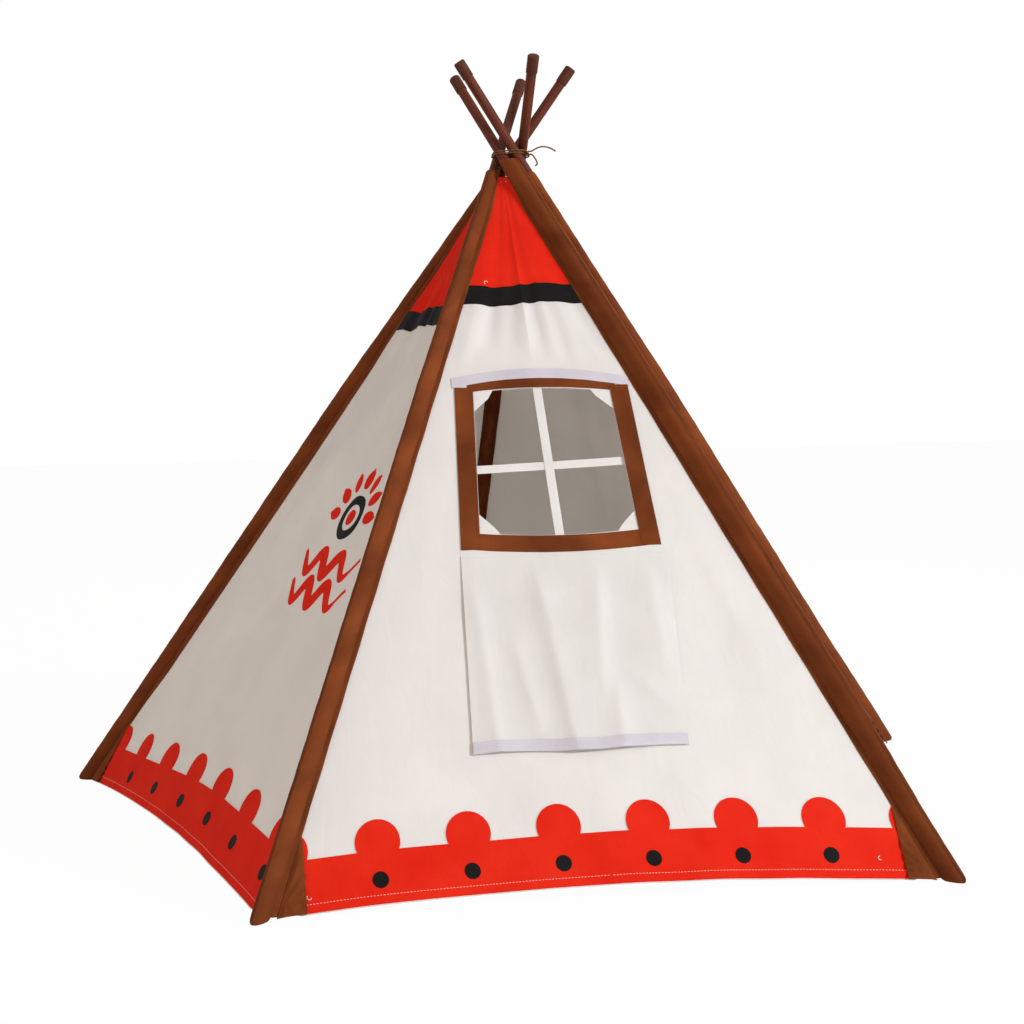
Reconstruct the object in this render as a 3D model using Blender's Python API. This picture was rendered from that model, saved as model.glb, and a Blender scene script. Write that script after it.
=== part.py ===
"""Play teepee: five poles lashed near the top under cotton canvas walls.

A pole stands at each corner of a regular pentagon and goes up inside a cloth sleeve.
Each passes the middle on the same side as the next, so no two poles meet. Wall i runs
from corner i to corner i + 1, and the front wall faces -Y. A place on a wall is given
by its side (from the wall's centreline), its rise (up the slope from the floor) and its
lift (out from the cloth's inner face). Lengths are metres, +Z is up.
"""
import math

import bmesh
import bpy
from mathutils import Vector

# Names of the corners and walls, counted round from the front left
CORNERS = ("front_left", "front_right", "rear_right", "rear", "rear_left")
WALLS = ("front", "right", "door", "back", "left")
FRONT, RIGHT, DOOR, BACK, LEFT = range(5)

# Frame of poles
SIDE_LENGTH = 1.100
WAIST_HEIGHT = 1.287
WAIST_OFFSET = 0.025
POLE_ABOVE_WAIST = 0.2121
POLE_DIAMETER = 0.020
POLE_CHAMFER = 0.001
POLE_SIDES = 16
CAP_DIAMETER = 0.023
CAP_LENGTH = 0.036
CAP_ROUNDING = 0.003
CAP_CLEARANCE = 0.0004

# Cloth thicknesses, and the gaps kept between separate cloths
WALL_THICKNESS = 0.0015
BAND_THICKNESS = 0.0012
TRIM_THICKNESS = 0.0010
LAYER_GAP = 0.0005
SEAM_GAP = 0.0006

# Pole sleeves: a tube round the pole with a wing along each neighbouring wall
SLEEVE_CLEARANCE = 0.0004
SLEEVE_CLOTH = 0.0018
SLEEVE_RIDGE = 0.0045
SLEEVE_WING = 0.022
SLEEVE_SLIM_WING = 0.0165
SLEEVE_WING_EDGE = 0.0024
SLEEVE_FLOOR = 0.003
SLEEVE_FOOT_ROUNDING = 0.012
SLEEVE_RING_SHARES = (0.35, 0.63, 0.80, 0.91)
SLEEVE_RIDGE_ANGLES = (30, 60)
SLEEVE_RIDGE_SHARES = (0.8, 0.55)
SLEEVE_BACK_ANGLES = (122, 143, 162)
SLEEVE_TAPER_DROP = 0.1614
SLEEVE_TAPER_LENGTH = 0.090
SLEEVE_TAPER_RINGS = 5
SLEEVE_TOP_DROPS = (0.0394, 0.0174, 0.0464, 0.0464, 0.0434)
FOOT_SHRINK_SHARE = 0.80

# Places up the walls, as shares of the slope from the floor to the waist
BAND_LOW_SHARE = 0.75603
BAND_HIGH_SHARE = 0.78482
BAND_DROP_SHARE = 0.02746
RED_TOP_SHARE = 0.96160
DRAPE_START_SHARE = 0.6596
DRAPE_FULL_SHARE = 0.7098
WINDOW_LOW_SHARE = 0.43192
WINDOW_HIGH_SHARE = 0.62210
BAR_RISE_SHARE = 0.52098
FLAP_TOP_SHARE = 0.40212
DOOR_TOP_SHARE = 0.63616

# Cloth of the walls
HEM_ARCH = 0.023
WALL_COLUMNS = 11
RED_COLUMNS = 7
WALL_ROW_SHARES = (0, 0.13, 0.27, 0.41, 0.55, 0.68, 0.80, 0.88, 0.94, 1)
BELOW_WINDOW_SHARES = (0, 0.22, 0.45, 0.68, 0.86)
DRAPE_TURNS = 5
DRAPE_DEPTH = 0.004

# Window in the front wall, as seen from outside: its corners as shares of the side
WINDOW_LOW_LEFT_SHARE = -0.12545
WINDOW_LOW_RIGHT_SHARE = 0.13091
WINDOW_HIGH_LEFT_SHARE = -0.10636
WINDOW_HIGH_RIGHT_SHARE = 0.12455
WINDOW_BOW_HIGH = 0.012
WINDOW_BOW_LOW = 0.008
FRAME_BOW_HIGH = 0.018
WINDOW_CORNER_CUT = 0.036
FRAME_SIDE_WIDTH = 0.034
FRAME_BOTTOM_HEIGHT = 0.033
FRAME_TOP_HEIGHT = 0.014
FRAME_EDGE = 0.001
BAR_WIDTH = 0.016
BAR_LAP = 0.008
BAR_SIDE = 0.003
TAPE_HEIGHT = 0.021
TAPE_OVERHANG = 0.002

# Window flap, hanging from the foot of the window
FLAP_LEFT_SHARE = -0.16
FLAP_RIGHT_SHARE = 0.17091
FLAP_LENGTH = 0.357
FLAP_SKEW = 0.014
FLAP_SEAM_GAP = 0.0004
FLAP_STANDOFF = 0.0008
FLAP_STANDOFF_SHARE = 0.12
FLAP_FOLD_DEPTH = 0.0065
FLAP_FOLDS = 3.5
FLAP_FOLD_SLANT_SHARE = 0.12
FLAP_TAPE = 0.020
FLAP_PIVOT_LIFT = 0.0055

# Red base band with its scallops
BASE_BAND = 0.084
BAND_HEM_LIFT = 0.0015
SCALLOP_HEIGHT = 0.050
SCALLOP_RADIUS = 0.036
SCALLOP_STEPS = 10
FRONT_PITCH = 0.1455
SIDE_PITCH = 0.156

# Gusset cloths at the feet
GUSSET_HEIGHT = 0.118
GUSSET_WIDTH = 0.047
GUSSET_FOLD = 0.004
GUSSET_WAVES = 3
GUSSET_TIP = 0.003

# Doorway in the wall between the rear right and the rear pole
DOOR_SEAM = 0.001
CURTAIN_GAP = 0.0015
CURTAIN_FOLD = 0.005
CURTAIN_FOLD_START = 0.170
CURTAIN_FOLD_DROP = 0.050
CURTAIN_TURNS = 11
CURTAIN_ROW_SHARES = (0, 0.16, 0.30, 0.44, 0.58, 0.72, 0.86, 1)

# Lashing cord, its knot and tails
CORD_DIAMETER = 0.0032
CORD_CLEARANCE = 0.0007
LASHING_TURNS = 2
LASHING_PITCH = 0.0040
LOOP_POINTS = 24
KNOT_ANGLE = math.radians(-36)
KNOT_AIM = math.radians(1)
LASHING_END = math.radians(40)
LASHING_RISE = math.radians(75)
KNOT_WIDTH = 0.012
KNOT_DEPTH = 0.008
KNOT_HEIGHT = 0.0125
KNOT_ROUNDING = 0.002
FACE_GAP = 0.0003
TAIL_STEP = 0.005
SPLINE_STEPS = 12

# Routes of the tails from the knot's outer face: out, along the cord, up
LONG_TAIL = (
    (0, 0, 0.0025),
    (0.0060, 0.0005, 0.0030),
    (0.0135, 0.0040, 0.0075),
    (0.0220, 0.0100, 0.0110),
    (0.0310, 0.0170, 0.0105),
    (0.0390, 0.0240, 0.0070),
    (0.0450, 0.0290, 0.0020),
)
SHORT_TAIL = (
    (0, 0, -0.0030),
    (0.0055, 0.0005, -0.0040),
    (0.0095, 0.0030, -0.0095),
    (0.0125, 0.0060, -0.0160),
    (0.0135, 0.0080, -0.0225),
    (0.0095, 0.0070, -0.0265),
)

# Colours, as linear values
CREAM = (0.78, 0.75, 0.70)
RED = (0.78, 0.03, 0.015)
BLACK = (0.012, 0.012, 0.011)
BROWN = (0.17, 0.052, 0.018)
TAPE = (0.65, 0.61, 0.68)
WOOD = (0.12, 0.032, 0.018)
CAP = (0.06, 0.022, 0.015)
CORD = (0.10, 0.045, 0.025)

# Worked out from the sizes above
FIFTH = 2 * math.pi / 5
FOOT_CIRCLE = SIDE_LENGTH / (2 * math.sin(FIFTH / 2))
LEG = math.sqrt(FOOT_CIRCLE ** 2 + WAIST_OFFSET ** 2 + WAIST_HEIGHT ** 2)
UPRIGHT_SHARE = WAIST_HEIGHT / LEG
LEAN_SHARE = math.sqrt(1 - UPRIGHT_SHARE ** 2)
RISE_SHARE = math.sqrt(1 - (SIDE_LENGTH / 2 / LEG) ** 2)
WAIST_RISE = LEG * RISE_SHARE
POLE_REACH = LEG + POLE_ABOVE_WAIST
SLEEVE_TAPER_START = LEG - SLEEVE_TAPER_DROP
BAND_LOW = WAIST_RISE * BAND_LOW_SHARE
BAND_HIGH = WAIST_RISE * BAND_HIGH_SHARE
BAND_DROP = WAIST_RISE * BAND_DROP_SHARE
RED_TOP = WAIST_RISE * RED_TOP_SHARE
DRAPE_START = WAIST_RISE * DRAPE_START_SHARE
DRAPE_FULL = WAIST_RISE * DRAPE_FULL_SHARE
WINDOW_LOW = WAIST_RISE * WINDOW_LOW_SHARE
WINDOW_HIGH = WAIST_RISE * WINDOW_HIGH_SHARE
WINDOW_LOW_LEFT = SIDE_LENGTH * WINDOW_LOW_LEFT_SHARE
WINDOW_LOW_RIGHT = SIDE_LENGTH * WINDOW_LOW_RIGHT_SHARE
WINDOW_HIGH_LEFT = SIDE_LENGTH * WINDOW_HIGH_LEFT_SHARE
WINDOW_HIGH_RIGHT = SIDE_LENGTH * WINDOW_HIGH_RIGHT_SHARE
BAR_RISE = WAIST_RISE * BAR_RISE_SHARE
FLAP_TOP = WAIST_RISE * FLAP_TOP_SHARE
FLAP_LEFT = SIDE_LENGTH * FLAP_LEFT_SHARE
FLAP_RIGHT = SIDE_LENGTH * FLAP_RIGHT_SHARE
DOOR_HEIGHT = WAIST_RISE * DOOR_TOP_SHARE
POLE_RADIUS = POLE_DIAMETER / 2
BORE_RADIUS = POLE_RADIUS + SLEEVE_CLEARANCE
TUBE_RADIUS = BORE_RADIUS + SLEEVE_CLOTH
POLE_START = (SLEEVE_FLOOR + SLEEVE_CLEARANCE + POLE_RADIUS * LEAN_SHARE) / UPRIGHT_SHARE
CORD_RADIUS = CORD_DIAMETER / 2
BAND_LIFT = WALL_THICKNESS + LAYER_GAP
TRIM_LIFT = BAND_LIFT + BAND_THICKNESS + LAYER_GAP
FLAP_LIFT = WALL_THICKNESS + FLAP_SEAM_GAP
HALF_SHARE = 0.5
QUARTER_SHARES = (0, 0.25, 0.5, 0.75)
UP = Vector((0, 0, 1))


# Geometry of the poles and walls

def outward(corner):
    """Unit vector from the middle of the floor to a corner."""
    angle = math.radians(-90) + (corner % 5 - 0.5) * FIFTH
    return Vector((math.cos(angle), math.sin(angle), 0))


def pole_foot(corner):
    return outward(corner) * FOOT_CIRCLE


def crossing(corner):
    """Point of the pole's axis at the waist, beside the middle."""
    return WAIST_OFFSET * outward(corner).cross(UP) + WAIST_HEIGHT * UP


def pole_axis(corner):
    return (crossing(corner) - pole_foot(corner)).normalized()


def pole_point(corner, reach):
    """Point of the pole's axis at a distance from the floor along the pole."""
    return pole_foot(corner) + reach * pole_axis(corner)


def lean(corner):
    """Horizontal unit vector from the crossing to the foot."""
    away = pole_foot(corner) - crossing(corner)
    away.z = 0
    return away.normalized()


def swing_axis(corner):
    """Axis about which the pole swings upright, with a positive angle."""
    return UP.cross(lean(corner))


def wall_frame(wall, rise):
    """Middle of the wall at a rise, its level direction and its half width."""
    reach = rise / RISE_SHARE
    first = pole_point(wall, reach)
    second = pole_point(wall + 1, reach)
    chord = second - first
    return (first + second) / 2, chord.normalized(), chord.length / 2


def wall_point(wall, side, rise, lift=0.0):
    """Point on a wall's ruled surface, lifted out from it."""
    middle, level, half = wall_frame(wall, rise)
    share = (side + half) / (2 * half)
    slope = pole_axis(wall) * (1 - share) + pole_axis(wall + 1) * share
    normal = level.cross(slope).normalized()
    return middle + side * level + lift * normal


def wing_reach(rise):
    """How far a sleeve's wing stands out from its pole along the wall."""
    along = (rise / RISE_SHARE - SLEEVE_TAPER_START) / SLEEVE_TAPER_LENGTH
    share = min(max(along, 0), 1)
    return SLEEVE_WING + (SLEEVE_SLIM_WING - SLEEVE_WING) * share


def cloth_edge(rise, gap=SEAM_GAP):
    """Distance from the wall's centreline to the edge of its cloth."""
    return wall_frame(FRONT, rise)[2] - wing_reach(rise) - gap


def hem(side):
    """Rise of the hem, which arches up between the feet."""
    share = side / cloth_edge(0)
    return HEM_ARCH * (1 - share ** 2)


def smooth(share):
    share = min(max(share, 0), 1)
    return share * share * (3 - 2 * share)


def drape(side, rise):
    """Soft upright waves of the cloth above the window."""
    share = side / cloth_edge(rise)
    edges = 1 - share ** 4
    start = smooth((rise - DRAPE_START) / (DRAPE_FULL - DRAPE_START))
    end = 1 - smooth((rise - DRAPE_FULL) / (RED_TOP - DRAPE_FULL))
    return DRAPE_DEPTH * math.sin(DRAPE_TURNS * share) * edges * start * end


# Building solids

def new_material(name, color, roughness):
    material = bpy.data.materials.new(name)
    material.use_nodes = True
    shader = material.node_tree.nodes["Principled BSDF"]
    shader.inputs["Base Color"].default_value = (*color, 1)
    shader.inputs["Roughness"].default_value = roughness
    shader.inputs["Metallic"].default_value = 0
    return material


def clear_scene():
    for item in list(bpy.data.objects):
        bpy.data.objects.remove(item, do_unlink=True)


def add_empty(name, place, parent=None):
    """Empty at a place given in the teepee's own frame."""
    empty = bpy.data.objects.new(name, None)
    bpy.context.scene.collection.objects.link(empty)
    empty.parent = parent
    empty.location = place - base_of(parent)
    empty["base"] = list(place)
    return empty


def base_of(parent):
    return Vector(parent["base"]) if parent else Vector((0, 0, 0))


def add_piece(name, mesh, material, parent, is_round=False):
    """Turn a bmesh drawn in the teepee's frame into an object under its parent."""
    bmesh.ops.recalc_face_normals(mesh, faces=mesh.faces)
    bmesh.ops.translate(mesh, verts=mesh.verts, vec=-base_of(parent))
    data = bpy.data.meshes.new(name)
    mesh.to_mesh(data)
    mesh.free()
    if is_round:
        data.shade_smooth()
        data.set_sharp_from_angle(angle=math.radians(40))
    piece = bpy.data.objects.new(name, data)
    bpy.context.scene.collection.objects.link(piece)
    piece.parent = parent
    data.materials.append(material)
    return piece


def loft(rings):
    """Closed solid through rings of points, capped on the first and the last."""
    mesh = bmesh.new()
    loops = [[mesh.verts.new(point) for point in ring] for ring in rings]
    count = len(rings[0])
    for low, high in zip(loops, loops[1:]):
        for i in range(count):
            following = (i + 1) % count
            mesh.faces.new((low[i], low[following], high[following], high[i]))
    mesh.faces.new(list(reversed(loops[0])))
    mesh.faces.new(loops[-1])
    return mesh


def cloth(outer, inner, polygons):
    """Closed sheet between two like sets of points."""
    mesh = bmesh.new()
    top = [mesh.verts.new(point) for point in outer]
    under = [mesh.verts.new(point) for point in inner]
    edges = set()
    for polygon in polygons:
        mesh.faces.new([top[i] for i in polygon])
        mesh.faces.new([under[i] for i in reversed(polygon)])
        edges.update(zip(polygon, polygon[1:] + polygon[:1]))
    for start, end in sorted(edges):
        if (end, start) not in edges:
            mesh.faces.new((top[end], top[start], under[start], under[end]))
    loose = [vertex for vertex in mesh.verts if not vertex.link_faces]
    bmesh.ops.delete(mesh, geom=loose, context="VERTS")
    return mesh


def layer(wall, places, polygons, lift, thickness, surface=None):
    """Sheet that lies on a wall, from (side, rise) places."""
    raised = surface or drape
    outer = [wall_point(wall, s, r, lift + thickness + raised(s, r)) for s, r in places]
    inner = [wall_point(wall, s, r, lift + raised(s, r)) for s, r in places]
    return cloth(outer, inner, polygons)


def grid_polygons(rows, columns):
    return [
        [r * columns + c, r * columns + c + 1, (r + 1) * columns + c + 1, (r + 1) * columns + c]
        for r in range(rows - 1)
        for c in range(columns - 1)
    ]


def spread(start, end, count):
    return [start + (end - start) * i / (count - 1) for i in range(count)]


def strip(left, right, low, high, columns, rows):
    """Places of a four-sided grid whose edges are functions of rise or of share."""
    places = []
    for row_share in spread(0, 1, rows):
        for share in spread(0, 1, columns):
            bottom = low(share)
            rise = bottom + (high(share) - bottom) * row_share
            side = left(rise) + (right(rise) - left(rise)) * share
            places.append((side, rise))
    return places


def flat(side, rise):
    return 0.0


# Poles, caps and sleeves

def pole_ring(corner, reach, radius):
    """Ring of points round a pole, square to it."""
    across = swing_axis(corner)
    normal = across.cross(pole_axis(corner))
    middle = pole_point(corner, reach)
    points = []
    for i in range(POLE_SIDES):
        angle = 2 * math.pi * i / POLE_SIDES
        points.append(middle + radius * (math.cos(angle) * normal + math.sin(angle) * across))
    return points


def level_ring(corner, height, radii, angles):
    """Ring of points round a pole, in a level plane."""
    middle = pole_point(corner, height / UPRIGHT_SHARE)
    across = swing_axis(corner)
    away = lean(corner) / UPRIGHT_SHARE
    return [
        middle + radius * (math.cos(angle) * away + math.sin(angle) * across)
        for radius, angle in zip(radii, angles)
    ]


def make_pole(corner, material, parent):
    top = POLE_REACH - CAP_ROUNDING - CAP_CLEARANCE
    small = POLE_RADIUS - POLE_CHAMFER
    mesh = loft([
        pole_ring(corner, POLE_START, small),
        pole_ring(corner, POLE_START + POLE_CHAMFER, POLE_RADIUS),
        pole_ring(corner, top - POLE_CHAMFER, POLE_RADIUS),
        pole_ring(corner, top, small),
    ])
    add_piece(CORNERS[corner] + "_pole", mesh, material, parent, True)


def make_cap(corner, material, parent):
    outer = CAP_DIAMETER / 2
    bore = POLE_RADIUS + CAP_CLEARANCE
    mesh = loft([
        pole_ring(corner, POLE_REACH, outer - CAP_ROUNDING),
        pole_ring(corner, POLE_REACH - CAP_ROUNDING / 3, outer - CAP_ROUNDING / 3),
        pole_ring(corner, POLE_REACH - CAP_ROUNDING, outer),
        pole_ring(corner, POLE_REACH - CAP_LENGTH, outer),
        pole_ring(corner, POLE_REACH - CAP_LENGTH, bore),
        pole_ring(corner, POLE_REACH - CAP_ROUNDING, bore),
    ])
    add_piece(CORNERS[corner] + "_pole_cap", mesh, material, parent, True)


def sleeve_ring(corner, height, wing, shrink_share=1.0):
    """Level outline of a sleeve: ridge outside, a wing along each wall, tube inside."""
    middle = pole_point(corner, height / UPRIGHT_SHARE)
    across = swing_axis(corner)
    away = lean(corner) / UPRIGHT_SHARE
    fullness = (wing - SLEEVE_SLIM_WING) / (SLEEVE_WING - SLEEVE_SLIM_WING)

    def on_tube(degrees, extra):
        radius = TUBE_RADIUS + extra * fullness
        angle = math.radians(degrees)
        return radius * (math.cos(angle) * away + math.sin(angle) * across)

    def on_wing(neighbour, edge):
        chord = pole_point(neighbour, height / UPRIGHT_SHARE) - middle
        along = chord.normalized()
        beside = along.cross(UP)
        if beside.dot(away) < 0:
            beside = -beside
        return along * wing + beside * edge * (SLEEVE_WING_EDGE / 2)

    def half_outline(way):
        """From beside the ridge to beside the back, on the way's side of the pole."""
        ridge = [
            on_tube(way * angle, SLEEVE_RIDGE * share)
            for angle, share in zip(SLEEVE_RIDGE_ANGLES, SLEEVE_RIDGE_SHARES)
        ]
        wing_edge = [on_wing(corner + way, 1), on_wing(corner + way, -1)]
        back = [on_tube(way * angle, 0) for angle in SLEEVE_BACK_ANGLES]
        return ridge + wing_edge + back

    offsets = [on_tube(0, SLEEVE_RIDGE)] + half_outline(1)
    offsets += [on_tube(180, 0)] + list(reversed(half_outline(-1)))
    return [middle + offset * shrink_share for offset in offsets]


def taper_reaches():
    """Distances along the pole at which the sleeve and the cloth beside it narrow."""
    return spread(SLEEVE_TAPER_START, SLEEVE_TAPER_START + SLEEVE_TAPER_LENGTH, SLEEVE_TAPER_RINGS)


def make_sleeve(corner, material, parent):
    top = (LEG - SLEEVE_TOP_DROPS[corner]) * UPRIGHT_SHARE
    foot = SLEEVE_FOOT_ROUNDING
    reaches = [share * SLEEVE_TAPER_START for share in SLEEVE_RING_SHARES] + taper_reaches()
    rings = [
        sleeve_ring(corner, 0, SLEEVE_WING, FOOT_SHRINK_SHARE),
        sleeve_ring(corner, foot / 3, SLEEVE_WING, (1 + FOOT_SHRINK_SHARE) / 2),
        sleeve_ring(corner, foot, SLEEVE_WING),
    ]
    for reach in reaches:
        rings.append(sleeve_ring(corner, reach * UPRIGHT_SHARE, wing_reach(reach * RISE_SHARE)))
    rings.append(sleeve_ring(corner, top, SLEEVE_SLIM_WING))
    angles = [2 * math.pi * i / POLE_SIDES for i in range(POLE_SIDES)]
    bore = [BORE_RADIUS] * POLE_SIDES
    rings.append(level_ring(corner, top, bore, angles))
    rings.append(level_ring(corner, SLEEVE_FLOOR, bore, angles))
    add_piece(CORNERS[corner] + "_pole_sleeve", loft(rings), material, parent, True)


# Walls

def panel_places(rises, columns, low_edge=None):
    """Grid of places across a wall, edge to edge, at the rises given."""
    places = []
    for i, rise in enumerate(rises):
        edge = cloth_edge(rise)
        for side in spread(-edge, edge, columns):
            bottom = i == 0 and low_edge
            places.append((side, low_edge(side) if bottom else rise))
    return places


def panel(wall, places, rows, columns):
    return layer(wall, places, grid_polygons(rows, columns), 0, WALL_THICKNESS)


def band_limits(wall):
    """Low and high edge of a wall's black band; it is lower on walls without a window."""
    drop = 0 if wall == FRONT else BAND_DROP
    return BAND_LOW - drop, BAND_HIGH - drop


def make_plain_wall(wall, material, parent):
    top = band_limits(wall)[0] - SEAM_GAP
    rises = [share * top for share in WALL_ROW_SHARES]
    mesh = panel(wall, panel_places(rises, WALL_COLUMNS, hem), len(rises), WALL_COLUMNS)
    add_piece(WALLS[wall] + "_wall_panel", mesh, material, parent)


def window_edges(rise):
    """Left and right edge of the window opening at a rise."""
    share = (rise - WINDOW_LOW) / (WINDOW_HIGH - WINDOW_LOW)
    left = WINDOW_LOW_LEFT + (WINDOW_HIGH_LEFT - WINDOW_LOW_LEFT) * share
    right = WINDOW_LOW_RIGHT + (WINDOW_HIGH_RIGHT - WINDOW_LOW_RIGHT) * share
    return left, right


def window_columns(rise):
    """Sides of the front wall's eleven columns at a rise within the window."""
    left, right = window_edges(rise)
    edge = cloth_edge(rise)
    inner_left = left + WINDOW_CORNER_CUT
    inner_right = right - WINDOW_CORNER_CUT
    opening = [left] + spread(inner_left, inner_right, 5) + [right]
    return [-edge, (left - edge) / 2] + opening + [(right + edge) / 2, edge]


def front_columns(rise):
    """Sides of the front wall's columns, which narrow with the wall past the window."""
    nearest = min(max(rise, WINDOW_LOW), WINDOW_HIGH)
    scale = cloth_edge(rise) / cloth_edge(nearest)
    return [side * scale for side in window_columns(nearest)]


def window_bow(side, rise, depth):
    left, right = window_edges(rise)
    share = (side - (left + right) / 2) / ((right - left) / 2)
    return depth * max(0, 1 - share ** 2)


def make_front_wall(material, parent):
    cut = WINDOW_CORNER_CUT
    below = [share * WINDOW_LOW for share in BELOW_WINDOW_SHARES]
    window = [WINDOW_LOW, WINDOW_LOW + cut]
    window += spread(WINDOW_LOW + cut, WINDOW_HIGH - cut, 5)[1:-1]
    window += [WINDOW_HIGH - cut, WINDOW_HIGH]
    above = spread(WINDOW_HIGH, BAND_LOW - SEAM_GAP, 7)[1:]
    rises = below + window + above
    first_row = len(below)
    last_row = first_row + len(window) - 1
    places = []
    for row, rise in enumerate(rises):
        for side in front_columns(rise):
            if row == 0:
                place = (side, hem(side))
            elif row == first_row:
                place = (side, rise - window_bow(side, rise, WINDOW_BOW_LOW))
            elif row == last_row:
                place = (side, rise + window_bow(side, rise, WINDOW_BOW_HIGH))
            else:
                place = (side, rise)
            places.append(place)
    left_column = 2
    right_column = WALL_COLUMNS - 3
    polygons = []
    for polygon in grid_polygons(len(rises), WALL_COLUMNS):
        row, column = divmod(polygon[0], WALL_COLUMNS)
        in_rows = first_row <= row < last_row
        in_columns = left_column <= column < right_column
        if not (in_rows and in_columns):
            polygons.append(polygon)
            continue
        at_bottom = row == first_row
        at_top = row == last_row - 1
        if not (at_bottom or at_top):
            continue
        a, b, c, d = polygon
        if column == left_column:
            polygons.append([a, b, d] if at_bottom else [a, c, d])
        if column == right_column - 1:
            polygons.append([a, b, c] if at_bottom else [b, c, d])
    mesh = layer(FRONT, places, polygons, 0, WALL_THICKNESS)
    add_piece("front_wall_panel", mesh, material, parent)


def make_strip(wall, rises, columns, name, material, parent):
    """Panel across the whole wall with rows at the rises given."""
    mesh = panel(wall, panel_places(rises, columns), len(rises), columns)
    add_piece(WALLS[wall] + name, mesh, material, parent)


# Base bands and gussets

def band_edge(height):
    """Distance from the centreline to the base band's end, at a height over the hem."""
    side = cloth_edge(height)
    for _ in range(5):
        side = cloth_edge(hem(side) + height) - LAYER_GAP
    return side


def scallop_centres(pitch, offset_share):
    """Sides of the scallops' centrelines; the wall's edges cut the outermost."""
    count = int(cloth_edge(0) / pitch) + 1
    places = [(i + offset_share) * pitch for i in range(-count - 1, count + 1)]
    return [place for place in places if abs(place) < band_edge(BASE_BAND) + SCALLOP_RADIUS]


def scallop_arc(centre):
    """Points of a scallop's outline above the band, from its right foot to its left."""
    shoulder = SCALLOP_HEIGHT - SCALLOP_RADIUS
    points = [(centre + SCALLOP_RADIUS, 0), (centre + SCALLOP_RADIUS, shoulder)]
    for i in range(1, SCALLOP_STEPS):
        angle = math.pi * i / SCALLOP_STEPS
        side = centre + SCALLOP_RADIUS * math.cos(angle)
        points.append((side, shoulder + SCALLOP_RADIUS * math.sin(angle)))
    return points + [(centre - SCALLOP_RADIUS, shoulder), (centre - SCALLOP_RADIUS, 0)]


def cut_outline(points, limits):
    """Outline above the band with what lies past the two limits cut away."""
    kept = []
    for start, end in zip(points, points[1:]):
        gaps = [[way * (limit(BASE_BAND + height) - side) for side, height in (start, end)]
                for way, limit in zip((-1, 1), limits)]
        if min(gaps[0][0], gaps[1][0]) >= 0:
            kept.append(start)
        for near, far in gaps:
            if near * far < 0:
                share = near / (near - far)
                kept.append(tuple(a + (b - a) * share for a, b in zip(start, end)))
    last = points[-1]
    if limits[0](BASE_BAND) <= last[0] <= limits[1](BASE_BAND):
        kept.append(last)
    return kept


def base_band_mesh(wall, centres, limits, lift):
    """Band along the hem with its scallops, between two limits that follow the height."""
    left, right = limits
    ends = (left(BASE_BAND), right(BASE_BAND))
    stops = [ends[0]]
    scallops = []
    for centre in centres:
        first = max(centre - SCALLOP_RADIUS, ends[0])
        last = min(centre + SCALLOP_RADIUS, ends[1])
        if last - first > LAYER_GAP:
            scallops.append((centre, first, last))
            stops += [stop for stop in (first, last) if ends[0] < stop < ends[1]]
    stops.append(ends[1])
    low_shares = [(stop - ends[0]) / (ends[1] - ends[0]) for stop in stops]
    low_ends = (left(BAND_HEM_LIFT), right(BAND_HEM_LIFT))
    low_width = low_ends[1] - low_ends[0]
    places = [(low_ends[0] + low_width * share, BAND_HEM_LIFT) for share in low_shares]
    places += [(stop, BASE_BAND) for stop in stops]
    polygons = grid_polygons(2, len(stops))
    for centre, first, last in scallops:
        corners = [len(stops) + stops.index(first), len(stops) + stops.index(last)]
        outline = cut_outline(scallop_arc(centre), limits)
        outline = [place for place in outline if place[1] > 0]
        polygon = corners + [len(places) + i for i in range(len(outline))]
        places += [(side, BASE_BAND + height) for side, height in outline]
        polygons.append(polygon)
    arched = [(side, height + hem(side)) for side, height in places]
    return layer(wall, arched, polygons, lift, BAND_THICKNESS, flat)


def make_gusset(wall, way, name, material, parent):
    """Gathered triangle of cloth between a sleeve and the hem; way is -1 on the left."""
    columns = 5
    rows = 5
    foot = band_edge(0) - GUSSET_WIDTH
    tip = band_edge(GUSSET_HEIGHT) - GUSSET_TIP

    def inner_side(share):
        return foot + (tip - foot) * share

    def gather(side, rise):
        share = clamp((rise - hem(side)) / GUSSET_HEIGHT, 0, 1)
        outer = band_edge(share * GUSSET_HEIGHT)
        across = clamp((outer - abs(side)) / (outer - inner_side(share)), 0, 1)
        wave = math.sin(math.pi * across) + math.sin(GUSSET_WAVES * math.pi * across) / 2
        return GUSSET_FOLD * (1 - share) * max(wave, 0)

    places = []
    for share in spread(0, 1, rows):
        height = share * GUSSET_HEIGHT
        for side in spread(band_edge(height), inner_side(share), columns):
            places.append((way * side, hem(side) + height))
    polygons = grid_polygons(rows, columns)
    if way > 0:
        polygons = [list(reversed(polygon)) for polygon in polygons]
    mesh = layer(wall, places, polygons, TRIM_LIFT, TRIM_THICKNESS, gather)
    add_piece(name, mesh, material, parent)


def clamp(value, low, high):
    return min(max(value, low), high)


def make_wall_trim(materials, parent):
    """Base bands of the four whole walls, and the gussets at their ends."""
    limits = (lambda height: -band_edge(height), band_edge)
    whole_walls = ((FRONT, (-1, 1)), (RIGHT, (-1, 1)), (BACK, (-1, 1)), (LEFT, (-1,)))
    for wall, gusset_ways in whole_walls:
        mesh = base_band_mesh(wall, wall_scallops(wall), limits, BAND_LIFT)
        add_piece(WALLS[wall] + "_base_band", mesh, materials["red"], parent)
        for way in gusset_ways:
            name = WALLS[wall] + ("_left_gusset" if way < 0 else "_right_gusset")
            make_gusset(wall, way, name, materials["brown"], parent)


def wall_scallops(wall):
    if wall in (FRONT, DOOR):
        return scallop_centres(FRONT_PITCH, HALF_SHARE)
    return scallop_centres(SIDE_PITCH, 0)


# Window frame, bars, tape and flap

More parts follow.
